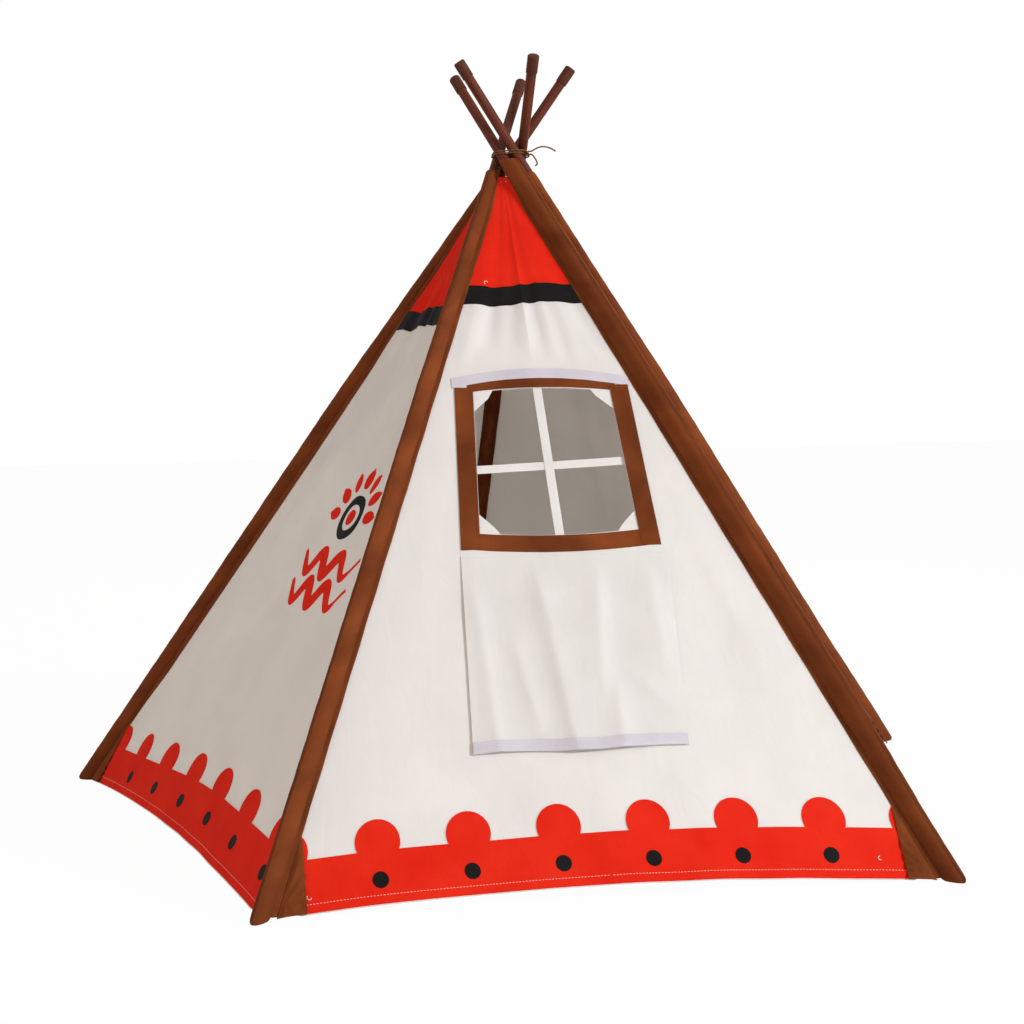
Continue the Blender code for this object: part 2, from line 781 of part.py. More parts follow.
def make_window(materials, parent):
    low_edge = WINDOW_LOW - FRAME_EDGE
    high_edge = WINDOW_HIGH + FRAME_EDGE
    frame_low = WINDOW_LOW - FRAME_BOTTOM_HEIGHT
    frame_high = WINDOW_HIGH + FRAME_TOP_HEIGHT

    def sewn_strip(name, edges, columns, rows, material, lift, thickness=BAND_THICKNESS):
        """Strip between its left, right, low and high edge."""
        places = strip(*edges, columns, rows)
        mesh = layer(FRONT, places, grid_polygons(rows, columns), lift, thickness, flat)
        add_piece(name, mesh, material, parent)

    def left_inner(rise):
        return window_edges(rise)[0] - FRAME_EDGE

    def right_inner(rise):
        return window_edges(rise)[1] + FRAME_EDGE

    def left_outer(rise):
        return left_inner(rise) - FRAME_SIDE_WIDTH

    def right_outer(rise):
        return right_inner(rise) + FRAME_SIDE_WIDTH

    def bow(share, depth):
        return depth * (1 - (2 * share - 1) ** 2)

    def level_at(rise, depth=0.0):
        """Level edge that bows up in the middle by the depth, or down if it is negative."""
        return lambda share: rise + bow(share, depth)

    brown = materials["brown"]
    left = (left_outer, lambda r: left_inner(r) - LAYER_GAP)
    right = (lambda r: right_inner(r) + LAYER_GAP, right_outer)
    ends = (level_at(frame_low), level_at(frame_high))
    sewn_strip("window_frame_left", (*left, *ends), 2, 5, brown, BAND_LIFT)
    sewn_strip("window_frame_right", (*right, *ends), 2, 5, brown, BAND_LIFT)
    inner = (left_inner, right_inner)
    ends = (level_at(high_edge, WINDOW_BOW_HIGH), level_at(frame_high, FRAME_BOW_HIGH))
    sewn_strip("window_frame_top", (*inner, *ends), 9, 2, brown, BAND_LIFT)
    ends = (level_at(frame_low, -WINDOW_BOW_LOW), level_at(low_edge, -WINDOW_BOW_LOW))
    sewn_strip("window_frame_bottom", (*inner, *ends), 9, 2, brown, BAND_LIFT)

    tape_low = frame_high + LAYER_GAP
    tape_left = left_outer(high_edge) - TAPE_OVERHANG
    tape_right = right_outer(high_edge) + TAPE_OVERHANG
    edges = (
        lambda r: tape_left,
        lambda r: tape_right,
        level_at(tape_low, FRAME_BOW_HIGH),
        level_at(tape_low + TAPE_HEIGHT, FRAME_BOW_HIGH),
    )
    sewn_strip("window_closure_tape", edges, 13, 2, materials["tape"], BAND_LIFT)

    behind = -WALL_THICKNESS - LAYER_GAP
    half = BAR_WIDTH / 2
    edges = (
        lambda r: BAR_SIDE - half,
        lambda r: BAR_SIDE + half,
        level_at(WINDOW_LOW - WINDOW_BOW_LOW - BAR_LAP),
        level_at(WINDOW_HIGH + WINDOW_BOW_HIGH + BAR_LAP),
    )
    cream = materials["cream"]
    sewn_strip("window_bar_upright", edges, 2, 6, cream, behind, WALL_THICKNESS)
    edges = (
        lambda r: window_edges(r)[0] - BAR_LAP,
        lambda r: window_edges(r)[1] + BAR_LAP,
        level_at(BAR_RISE - half),
        level_at(BAR_RISE + half),
    )
    sewn_strip("window_bar_level", edges, 7, 2, cream, 2 * behind, WALL_THICKNESS)


def flap_place(across, down):
    """Place on the flap from its shares across and down; it hangs a little askew."""
    side = FLAP_LEFT + (FLAP_RIGHT - FLAP_LEFT) * across + FLAP_SKEW * (down - 1) * down
    return side, FLAP_TOP - FLAP_LENGTH * down


def flap_fold(side, rise):
    """How far the flap and its folds stand off the wall, below the flap's seam."""
    down = (FLAP_TOP - rise) / FLAP_LENGTH
    across = (side - FLAP_LEFT) / (FLAP_RIGHT - FLAP_LEFT)
    turns = 2 * math.pi * FLAP_FOLDS * (across + FLAP_FOLD_SLANT_SHARE * down)
    standoff = FLAP_STANDOFF * min(down / FLAP_STANDOFF_SHARE, 1)
    return standoff + FLAP_FOLD_DEPTH * down * (1 + math.sin(turns)) / 2


def make_flap(materials, parent):
    columns = 17
    downs = spread(0, 1 - FLAP_TAPE / FLAP_LENGTH, 8) + [1]
    places = []
    for down in reversed(downs):
        places += [flap_place(across, down) for across in spread(0, 1, columns)]
    polygons = grid_polygons(len(downs), columns)
    mesh = layer(FRONT, places, polygons, FLAP_LIFT, WALL_THICKNESS, flap_fold)
    add_piece("window_flap", mesh, materials["cream"], parent)
    tape_places = places[:2 * columns]
    lift = FLAP_LIFT + WALL_THICKNESS + LAYER_GAP
    mesh = layer(FRONT, tape_places, grid_polygons(2, columns), lift, TRIM_THICKNESS, flap_fold)
    add_piece("window_flap_tape", mesh, materials["tape"], parent)


# Door curtains

def curtain_fold(side, rise):
    """Soft upright folds of a curtain, flat along its hinge and its base band."""
    edge = cloth_edge(rise, CURTAIN_GAP)
    across = clamp(1 - abs(side) / edge, 0, 1)
    fold_end = DOOR_HEIGHT - CURTAIN_FOLD_DROP
    middle = (rise - CURTAIN_FOLD_START) / (fold_end - CURTAIN_FOLD_START)
    height_share = math.sin(math.pi * clamp(middle, 0, 1))
    return CURTAIN_FOLD * height_share * math.sin(CURTAIN_TURNS * across) * across ** HALF_SHARE


def make_curtain(way, name, materials, parent):
    """One curtain with its base band; way is -1 for the left one."""
    columns = 8
    rises = [share * (DOOR_HEIGHT - DOOR_SEAM) for share in CURTAIN_ROW_SHARES]
    places = []
    for row, rise in enumerate(rises):
        edge = cloth_edge(rise, CURTAIN_GAP)
        for side in spread(edge, CURTAIN_GAP, columns):
            places.append((way * side, rise if row else hem(side)))
    polygons = grid_polygons(len(rises), columns)
    if way > 0:
        polygons = [list(reversed(polygon)) for polygon in polygons]
    mesh = layer(DOOR, places, polygons, 0, WALL_THICKNESS, curtain_fold)
    add_piece(name, mesh, materials["cream"], parent)

    def outer_limit(height):
        return way * (band_edge(height) - CURTAIN_GAP)

    def inner_limit(height):
        return way * (CURTAIN_GAP + LAYER_GAP)

    limits = (outer_limit, inner_limit) if way < 0 else (inner_limit, outer_limit)
    centres = [centre for centre in wall_scallops(DOOR) if centre * way > 0]
    mesh = base_band_mesh(DOOR, centres, limits, BAND_LIFT)
    add_piece(name + "_base_band", mesh, materials["red"], parent)


# Lashing

def pole_supports(corner, direction, height):
    """Points of a pole farthest in a level direction: with the pole leaning, and upright."""
    away = lean(corner)
    across = swing_axis(corner)
    long = POLE_RADIUS / UPRIGHT_SHARE
    along = direction.dot(away) * long
    beside = direction.dot(across) * POLE_RADIUS
    size = math.hypot(along, beside)
    leaning = pole_point(corner, height / UPRIGHT_SHARE)
    leaning += away * (along * long / size) + across * (beside * POLE_RADIUS / size)
    upright = crossing(corner) + direction * POLE_RADIUS
    upright.z = height
    return [leaning, upright]


def lashing_point(angle, height, extra=0.0):
    """Point of a cord round the poles, in a level direction, that lets them swing."""
    direction = Vector((math.cos(angle), math.sin(angle), 0))
    supports = []
    for corner in range(5):
        supports += pole_supports(corner, direction, height)
    farthest = max(supports, key=direction.dot)
    return farthest + direction * (CORD_CLEARANCE + CORD_RADIUS + extra)


def knot_frame():
    """Middle of the knot, its outward direction and the direction along the cord."""
    away = Vector((math.cos(KNOT_ANGLE), math.sin(KNOT_ANGLE), 0))
    ends = [lashing_point(KNOT_ANGLE + way * KNOT_AIM, WAIST_HEIGHT) for way in (-1, 1)]
    standoff = CORD_RADIUS + LAYER_GAP + KNOT_DEPTH / 2
    return (ends[0] + ends[1]) / 2 + standoff * away, away, UP.cross(away)


def lashing_path():
    """The winding's points, from one side of the knot round the poles to the other."""
    middle, away, along = knot_frame()
    standoff = CORD_RADIUS + LAYER_GAP + KNOT_DEPTH / 2
    turn = 2 * math.pi
    climb = LASHING_PITCH * LASHING_TURNS / 2
    whole = turn * LASHING_TURNS
    steps = round(LOOP_POINTS * (whole - 2 * LASHING_END) / turn)
    points = []
    for i in range(steps + 1):
        swept = LASHING_END + (whole - 2 * LASHING_END) * i / steps
        height = WAIST_HEIGHT - climb + 2 * climb * swept / whole
        to_knot = min(swept, whole - swept)
        rise = 1 - smooth((to_knot - LASHING_END / 2) / (LASHING_RISE - LASHING_END / 2))
        points.append(lashing_point(KNOT_ANGLE + swept, height, standoff * rise * HALF_SHARE))
    near = KNOT_WIDTH / 2 + FACE_GAP
    far = near + CORD_DIAMETER
    start = [middle + along * distance - UP * climb for distance in (near, far)]
    end = [middle - along * distance + UP * climb for distance in (far, near)]
    return start + points + end


def print_least_gap(points):
    """Measure the winding's least gap to itself on points along it, and print it."""
    fine = []
    for start, end in zip(points, points[1:]):
        fine += [start.lerp(end, share) for share in QUARTER_SHARES]
    lengths = [0]
    for start, end in zip(fine, fine[1:]):
        lengths.append(lengths[-1] + (end - start).length)
    apart = CORD_DIAMETER * 4
    least = min(
        (fine[i] - fine[j]).length
        for i in range(len(fine))
        for j in range(i)
        if lengths[i] - lengths[j] > apart
    )
    print(f"lashing: least gap of the cord to itself {(least - CORD_DIAMETER) * 1000:.2f} mm")


def make_cord(name, points, resolution, material, parent):
    data = bpy.data.curves.new(name, "CURVE")
    data.dimensions = "3D"
    data.bevel_depth = CORD_RADIUS
    data.bevel_resolution = resolution
    data.use_fill_caps = True
    spline = data.splines.new("POLY")
    spline.points.add(len(points) - 1)
    for target, point in zip(spline.points, points):
        target.co = (*(point - base_of(parent)), 1)
    cord = bpy.data.objects.new(name, data)
    bpy.context.scene.collection.objects.link(cord)
    cord.parent = parent
    data.materials.append(material)
    return cord


def smooth_route(stops, step):
    """Evenly spaced points on a smooth curve through a route's own points."""
    guides = [2 * stops[0] - stops[1]] + stops + [2 * stops[-1] - stops[-2]]
    fine = []
    for before, start, end, after in zip(guides, guides[1:], guides[2:], guides[3:]):
        for i in range(SPLINE_STEPS):
            t = i / SPLINE_STEPS
            once = (end - before) * t
            squared = (2 * before - 5 * start + 4 * end - after) * t ** 2
            cubed = (3 * start - before - 3 * end + after) * t ** 3
            fine.append((2 * start + once + squared + cubed) / 2)
    fine.append(stops[-1])
    route = [fine[0]]
    travelled = 0
    for start, end in zip(fine, fine[1:]):
        travelled += (end - start).length
        if travelled >= step:
            route.append(end)
            travelled = 0
    if travelled > step / 2:
        route.append(fine[-1])
    else:
        route[-1] = fine[-1]
    return route


def make_lashing(materials, parent):
    path = lashing_path()
    print_least_gap(path)
    make_cord("lashing_cord", path, 1, materials["cord"], parent)
    middle, away, along = knot_frame()
    mesh = bmesh.new()
    bmesh.ops.create_cube(mesh, size=1)
    for vertex in mesh.verts:
        x, y, z = vertex.co
        vertex.co = middle + away * x * KNOT_DEPTH + along * y * KNOT_WIDTH + UP * z * KNOT_HEIGHT
    bevel = {"segments": 2, "affect": "EDGES", "profile": HALF_SHARE}
    bmesh.ops.bevel(mesh, geom=mesh.edges, offset=KNOT_ROUNDING, **bevel)
    add_piece("lashing_knot", mesh, materials["cord"], parent, True)
    start = middle + away * (KNOT_DEPTH / 2 + FACE_GAP)
    for name, route in (("lashing_long_tail", LONG_TAIL), ("lashing_short_tail", SHORT_TAIL)):
        stops = [start + away * x + along * y + UP * z for x, y, z in route]
        make_cord(name, smooth_route(stops, TAIL_STEP), 2, materials["cord"], parent)


def build():
    clear_scene()
    materials = {
        "cream": new_material("cream_cotton_canvas", CREAM, 0.85),
        "red": new_material("red_cotton_cloth", RED, 0.8),
        "black": new_material("black_cotton_cloth", BLACK, 0.85),
        "brown": new_material("brown_cotton_cloth", BROWN, 0.85),
        "tape": new_material("hook_and_loop_tape", TAPE, 0.75),
        "wood": new_material("stained_wood", WOOD, 0.55),
        "cap": new_material("cap_rubber", CAP, 0.6),
        "cord": new_material("cotton_cord", CORD, 0.85),
    }
    teepee = add_empty("teepee", Vector((0, 0, 0)))
    pivots = []
    for corner in range(5):
        pivot = add_empty(CORNERS[corner] + "_swing", crossing(corner), teepee)
        make_pole(corner, materials["wood"], pivot)
        make_cap(corner, materials["cap"], pivot)
        make_sleeve(corner, materials["brown"], pivot)
        pivots.append(pivot)

    make_front_wall(materials["cream"], teepee)
    for wall in (RIGHT, BACK, LEFT):
        make_plain_wall(wall, materials["cream"], teepee)
    door_rises = spread(DOOR_HEIGHT, band_limits(DOOR)[0] - SEAM_GAP, 5)
    make_strip(DOOR, door_rises, WALL_COLUMNS, "_top_panel", materials["cream"], teepee)
    taper_rises = [reach * RISE_SHARE for reach in taper_reaches()]
    for wall in range(5):
        band_low, band_high = band_limits(wall)
        band_rises = spread(band_low, band_high - SEAM_GAP, 3)
        red_rises = spread(band_high, taper_rises[0], 5) + taper_rises[1:] + [RED_TOP]
        make_strip(wall, band_rises, WALL_COLUMNS, "_black_band", materials["black"], teepee)
        make_strip(wall, red_rises, RED_COLUMNS, "_red_top", materials["red"], teepee)
    make_wall_trim(materials, teepee)
    make_window(materials, teepee)
    flap_middle = (FLAP_LEFT + FLAP_RIGHT) / 2
    flap_hinge = wall_point(FRONT, flap_middle, FLAP_TOP, FLAP_PIVOT_LIFT)
    make_flap(materials, add_empty("window_flap_hinge", flap_hinge, pivots[0]))
    for way, name, corner in ((-1, "left_door_curtain", 2), (1, "right_door_curtain", 3)):
        rise = DOOR_HEIGHT / 2
        edge = way * cloth_edge(rise, CURTAIN_GAP)
        hinge = wall_point(DOOR, edge, rise, WALL_THICKNESS / 2)
        make_curtain(way, name, materials, add_empty(name + "_hinge", hinge, pivots[corner]))
    make_lashing(materials, teepee)
    centre_on_floor(teepee)


def centre_on_floor(root):
    """Move the whole teepee so that the middle of its outline is at X = Y = 0."""
    bpy.context.view_layer.update()
    corners = []
    for item in bpy.data.objects:
        if item.type == "MESH":
            corners += [item.matrix_world @ vertex.co for vertex in item.data.vertices]
    for axis in range(2):
        values = [corner[axis] for corner in corners]
        root.location[axis] -= (min(values) + max(values)) / 2
    bpy.context.view_layer.update()
    print("teepee: its frame's middle lies at", [round(value, 6) for value in root.location])


build()
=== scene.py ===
# %% [markdown]
# # A play teepee in cotton canvas
# Five stained poles stand in cloth sleeves and cross under a cord lashing. Canvas walls
# hang between the sleeves, with a black band, a red crown and a scalloped red hem. One
# wall has a barred window with a flap, another a doorway with two curtains.
#
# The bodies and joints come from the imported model. This notebook dresses it: every piece
# is remade in a finer form, which keeps the place of its CAD node and rides on its body.
# Lengths are in metres unless a comment says otherwise.

import math

import bmesh
import bpy
import numpy as np
from mathutils import Matrix, Vector


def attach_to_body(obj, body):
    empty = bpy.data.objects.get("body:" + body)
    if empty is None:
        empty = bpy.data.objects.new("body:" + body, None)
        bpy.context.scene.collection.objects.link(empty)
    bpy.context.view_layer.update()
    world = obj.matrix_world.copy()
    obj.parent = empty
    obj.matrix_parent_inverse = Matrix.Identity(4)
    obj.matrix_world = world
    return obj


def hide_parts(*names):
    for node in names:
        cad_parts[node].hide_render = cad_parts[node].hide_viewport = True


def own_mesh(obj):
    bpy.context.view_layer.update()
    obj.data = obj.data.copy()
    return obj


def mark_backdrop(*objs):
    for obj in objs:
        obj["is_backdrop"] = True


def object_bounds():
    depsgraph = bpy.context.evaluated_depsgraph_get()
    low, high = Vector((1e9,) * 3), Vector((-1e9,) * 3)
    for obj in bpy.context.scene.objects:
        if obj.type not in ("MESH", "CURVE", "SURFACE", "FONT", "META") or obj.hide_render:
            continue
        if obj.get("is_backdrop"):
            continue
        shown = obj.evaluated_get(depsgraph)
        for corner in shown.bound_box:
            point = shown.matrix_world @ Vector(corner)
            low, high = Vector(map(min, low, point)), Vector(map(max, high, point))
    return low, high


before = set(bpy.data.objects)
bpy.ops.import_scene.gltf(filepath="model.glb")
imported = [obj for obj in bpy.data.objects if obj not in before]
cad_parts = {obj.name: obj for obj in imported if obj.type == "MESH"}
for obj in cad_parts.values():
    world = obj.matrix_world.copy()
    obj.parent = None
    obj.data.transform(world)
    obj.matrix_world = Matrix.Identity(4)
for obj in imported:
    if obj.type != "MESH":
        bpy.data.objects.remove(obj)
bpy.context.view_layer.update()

# %% [markdown]
# ## Where things are
# The frame is a regular five-sided one, so a few lengths give every place on it. A wall
# runs from corner i to corner i + 1, and a place on it has a side (from the wall's
# centreline), a rise (up the slope from the floor) and a lift (out from the cloth's
# inner face). Numpy arrays let one call place a whole sheet.

# %% Frame of poles
CORNERS = ("front_left", "front_right", "rear_right", "rear", "rear_left")
WALLS = ("front", "right", "door", "back", "left")
FRONT, RIGHT, DOOR, BACK, LEFT = range(5)
MIDDLE = np.array((0.000136, -0.090242, 0.0))
UP = np.array((0.0, 0.0, 1.0))
SIDE_LENGTH = 1.100
WAIST_HEIGHT = 1.287
WAIST_OFFSET = 0.025
FOOT_CIRCLE = SIDE_LENGTH / (2 * math.sin(math.pi / 5))
LEG = math.sqrt(FOOT_CIRCLE ** 2 + WAIST_OFFSET ** 2 + WAIST_HEIGHT ** 2)
UPRIGHT = WAIST_HEIGHT / LEG
RISE_SHARE = math.sqrt(1 - (SIDE_LENGTH / 2 / LEG) ** 2)


def unit(vector):
    return vector / np.linalg.norm(vector, axis=-1, keepdims=True)


def smooth(share):
    share = np.clip(share, 0, 1)
    return share * share * (3 - 2 * share)


def outward(corner):
    angle = math.radians(-90) + (corner % 5 - 0.5) * 2 * math.pi / 5
    return np.array((math.cos(angle), math.sin(angle), 0.0))


def foot(corner):
    return MIDDLE + outward(corner) * FOOT_CIRCLE


def crossing(corner):
    return MIDDLE + WAIST_OFFSET * np.cross(outward(corner), UP) + WAIST_HEIGHT * UP


def pole_axis(corner):
    return unit(crossing(corner) - foot(corner))


def lean(corner):
    away = foot(corner) - crossing(corner)
    return unit(np.array((away[0], away[1], 0.0)))


def swing_axis(corner):
    return np.cross(UP, lean(corner))


def half_width(rise):
    """Half the distance between two neighbouring poles at a rise."""
    reach = np.asarray(rise, float)[..., None] / RISE_SHARE
    chord = foot(1) + reach * pole_axis(1) - foot(0) - reach * pole_axis(0)
    return np.linalg.norm(chord, axis=-1) / 2


def wall_points(wall, side, rise, lift):
    """Points in space for sides, rises and lifts on a wall."""
    side, rise, lift = (x[..., None] for x in np.broadcast_arrays(side, rise, lift))
    reach = rise / RISE_SHARE
    first = foot(wall) + reach * pole_axis(wall)
    second = foot(wall + 1) + reach * pole_axis(wall + 1)
    width = np.linalg.norm(second - first, axis=-1, keepdims=True)
    level = (second - first) / width
    share = side / width + 0.5
    slope = pole_axis(wall) * (1 - share) + pole_axis(wall + 1) * share
    return (first + second) / 2 + side * level + lift * unit(np.cross(level, slope))


print("feet are", round(FOOT_CIRCLE, 4), "m from the middle")

# %% [markdown]
# ## Camera
# The photo was taken from a little left of the window wall, 3.3 m from the middle of the
# teepee and 0.76 m up. The lens and the aim come from fitting the five feet and the five
# pole tops to the picture.

# %% Camera
def add_camera():
    yaw, pitch, roll = (math.radians(a) for a in (6.62, 1.56, -1.32))
    flat = math.cos(pitch)
    forward = Vector((math.sin(yaw) * flat, math.cos(yaw) * flat, -math.sin(pitch)))
    level = Vector((math.cos(yaw), -math.sin(yaw), 0))
    above = level.cross(forward)
    right = level * math.cos(roll) + above * math.sin(roll)
    top = above * math.cos(roll) - level * math.sin(roll)
    data = bpy.data.cameras.new("camera")
    data.lens, data.sensor_width = 55.52, 36
    data.shift_x, data.shift_y = 0.1045, -0.0479
    camera = bpy.data.objects.new("camera", data)
    bpy.context.scene.collection.objects.link(camera)
    camera.matrix_world = Matrix((right, top, -forward)).transposed().to_4x4()
    camera.location = (-0.59236, -3.24474, 0.7576)
    bpy.context.scene.camera = camera
    return camera


print("camera at", tuple(round(x, 3) for x in add_camera().location))

# %% [markdown]
# ## Materials
# The walls are plain-woven cotton canvas, about 12 threads to the centimetre. Matte
# fibres scatter the light, so the cloth is rough with little or no sheen. Threads that
# fine don't show at this distance, so the weave is drawn three times as coarse. Canvas
# and red cloth also let some light through.


# %% Colour and node helpers
def linear(code):
    """Linear colour from an sRGB hex value."""
    values = [int(code[i:i + 2], 16) / 255 for i in (1, 3, 5)]
    return [v / 12.92 if v <= 0.04045 else ((v + 0.055) / 1.055) ** 2.4 for v in values] + [1]


def add(tree, kind, inputs=None, **settings):
    """Add a node: settings are its own, inputs are values or sockets to link."""
    node = tree.nodes.new(kind)
    for key, value in settings.items():
        setattr(node, key, value)
    for key, value in (inputs or {}).items():
        if isinstance(value, bpy.types.NodeSocket):
            tree.links.new(value, node.inputs[key])
        else:
            node.inputs[key].default_value = value
    return node


def new_material(name, roughness, sheen=0.0):
    material = bpy.data.materials.new(name)
    material.use_nodes = True
    tree = material.node_tree
    shader = tree.nodes["Principled BSDF"]
    shader.inputs["Roughness"].default_value = roughness
    shader.inputs["Metallic"].default_value = 0
    shader.inputs["Sheen Weight"].default_value = sheen
    shader.inputs["Sheen Roughness"].default_value = 0.5
    return material, tree, shader


def woven(name, dark, pale, pitch=0.0024, depth=0.00022, sheen=0.0, wrinkle=0.0011,
          through=0.0):
    """Plain-woven cotton: two tones in slow patches, a weave and small creases."""
    material, tree, shader = new_material(name, 0.88, sheen)
    shader.inputs["Specular IOR Level"].default_value = 0.15
    uv = add(tree, "ShaderNodeUVMap", uv_map="cloth").outputs["UV"]
    axes = add(tree, "ShaderNodeSeparateXYZ", {0: uv})
    turns = 2 * math.pi / pitch
    threads = {}
    for i, axis in enumerate(("X", "Y")):
        angle = add(tree, "ShaderNodeMath", {0: axes.outputs[axis], 1: turns}, operation="MULTIPLY")
        wave = add(tree, "ShaderNodeMath", {0: angle.outputs[0]}, operation="SINE")
        threads[i] = wave.outputs[0]
    weave = add(tree, "ShaderNodeMath", threads, operation="MULTIPLY")
    slub = add(tree, "ShaderNodeTexNoise", {"Vector": uv, "Scale": 9, "Detail": 5})
    ramp = add(tree, "ShaderNodeValToRGB", {0: slub.outputs[0]})
    ramp.color_ramp.elements[0].position = 0.35
    ramp.color_ramp.elements[0].color = linear(dark)
    ramp.color_ramp.elements[1].position = 0.68
    ramp.color_ramp.elements[1].color = linear(pale)
    tree.links.new(ramp.outputs["Color"], shader.inputs["Base Color"])
    stretched = add(tree, "ShaderNodeMapping", {"Vector": uv, "Scale": (34, 15, 1)})
    crease = add(tree, "ShaderNodeTexNoise", {
        "Vector": stretched.outputs[0], "Scale": 1, "Detail": 4, "Roughness": 0.5,
        "Distortion": 0.6,
    })
    first = add(tree, "ShaderNodeBump", {"Height": crease.outputs[0], "Distance": wrinkle})
    second = add(tree, "ShaderNodeBump", {
        "Height": weave.outputs[0], "Distance": depth, "Normal": first.outputs[0],
    })
    tree.links.new(second.outputs[0], shader.inputs["Normal"])
    if through:
        # light soaks through thin cloth, so the inside of the tent isn't dark
        warm = add(tree, "ShaderNodeVectorMath", {
            0: ramp.outputs["Color"], 1: (1.0, 0.96, 0.91),
        }, operation="MULTIPLY")
        soak = add(tree, "ShaderNodeBsdfTranslucent", {
            "Color": warm.outputs[0], "Normal": second.outputs[0],
        })
        blend = add(tree, "ShaderNodeMixShader", {
            0: through, 1: shader.outputs[0], 2: soak.outputs[0],
        })
        tree.links.new(blend.outputs[0], tree.nodes["Material Output"].inputs["Surface"])
    return material


# %% Cloth materials
cream_canvas = woven("cream_cotton_canvas", "#F0EFEE", "#F4F3F2", sheen=0.05, through=0.35)
red_cotton = woven("red_cotton_cloth", "#E8230F", "#F03018", through=0.2)
black_cotton = woven("black_cotton_cloth", "#0C0B0B", "#161414")
brown_cotton = woven("brown_cotton_cloth", "#612D0F", "#80401B", wrinkle=0.0016)
hook_tape = woven("hook_and_loop_tape", "#D6D1DC", "#E6E2EC", pitch=0.0030, depth=0.0007,
                  sheen=0.1)
print("woven materials:", [m.name for m in bpy.data.materials if "cotton" in m.name])

# %% [markdown]
# The poles are turned pine, stained reddish brown. The stain takes unevenly, so the
# grain shows as darker streaks along the pole. The caps and the cord are plain.


# %% Wood, cap, cord and thread materials
def grained(name, dark, pale, roughness, stretch, bump):
    """Streaks along a round piece; its UV is metres round and metres along."""
    material, tree, shader = new_material(name, roughness)
    shader.inputs["Specular IOR Level"].default_value = 0.18
    uv = add(tree, "ShaderNodeUVMap", uv_map="cloth").outputs["UV"]
    place = add(tree, "ShaderNodeMapping", {"Vector": uv, "Scale": (420, stretch, 1)})
    noise = add(tree, "ShaderNodeTexNoise", {"Vector": place.outputs[0], "Scale": 1, "Detail": 6})
    ramp = add(tree, "ShaderNodeValToRGB", {0: noise.outputs[0]})
    ramp.color_ramp.elements[0].position = 0.32
    ramp.color_ramp.elements[0].color = linear(dark)
    ramp.color_ramp.elements[1].position = 0.66
    ramp.color_ramp.elements[1].color = linear(pale)
    tree.links.new(ramp.outputs["Color"], shader.inputs["Base Color"])
    relief_node = add(tree, "ShaderNodeBump", {"Height": noise.outputs[0], "Distance": bump})
    tree.links.new(relief_node.outputs[0], shader.inputs["Normal"])
    return material


stained_wood = grained("stained_pine", "#3B180B", "#682E18", 0.6, 9, 0.0002)
cap_rubber = grained("moulded_rubber_cap", "#40200F", "#522716", 0.65, 60, 0.0001)
cord_cotton = grained("twisted_cotton_cord", "#553520", "#7D5236", 0.9, 900, 0.0003)
pale_thread = grained("pale_cotton_thread", "#D9CFC4", "#EFE8DF", 0.8, 2000, 0.0001)
brown_thread = grained("brown_cotton_thread", "#4F2A14", "#6A3B1E", 0.8, 2000, 0.0001)

# %% [markdown]
# ## Lashing
# The poles are held where they cross by a cotton cord of 3.2 mm, twisted of three
# strands. It goes twice round, lies clear of the poles so that they can swing, and ends
# in a small knot with two loose tails. A tube swept along the cord's line, with three
# lobes that turn as it goes, gives the strands.


# %% Helpers for round pieces
SHARP_ANGLE = math.radians(40)
CORD_RADIUS = 0.0016
STRAND_TWIST = 420.0


def new_object(name, points, faces, uvs, material):
    """Mesh object with a UV for each point."""
    data = bpy.data.meshes.new(name)
    data.from_pydata([tuple(p) for p in points], [], faces)
    layer = data.uv_layers.new(name="cloth")
    index = np.zeros(len(data.loops), int)
    data.loops.foreach_get("vertex_index", index)
    layer.data.foreach_set("uv", np.asarray(uvs, float)[index].ravel())
    data.shade_smooth()
    data.set_sharp_from_angle(angle=SHARP_ANGLE)
    data.materials.append(material)
    item = bpy.data.objects.new(name, data)
    bpy.context.scene.collection.objects.link(item)
    return item


def tube(name, centres, across, upward, radii, angles, uv_along, material):
    """Skin through rings, closed at both ends; radii holds one table for each ring."""
    cosines, sines = np.cos(angles)[:, None], np.sin(angles)[:, None]
    rings = [centre + r[:, None] * (cosines * up + sines * side)
             for centre, r, up, side in zip(centres, radii, upward, across)]
    count = len(angles)
    faces = []
    for row in range(len(rings) - 1):
        for i in range(count):
            j = (i + 1) % count
            a = row * count
            faces.append([a + i, a + j, a + count + j, a + count + i])
    faces.append(list(reversed(range(count))))
    faces.append([(len(rings) - 1) * count + i for i in range(count)])
    round_way = np.tile(angles * 0.012, len(rings))
    along = np.repeat(uv_along, count)
    item = new_object(name, np.concatenate(rings), faces, np.stack((round_way, along), 1), material)
    mesh = bmesh.new()
    mesh.from_mesh(item.data)
    bmesh.ops.recalc_face_normals(mesh, faces=mesh.faces)
    mesh.to_mesh(item.data)
    mesh.free()
    return item


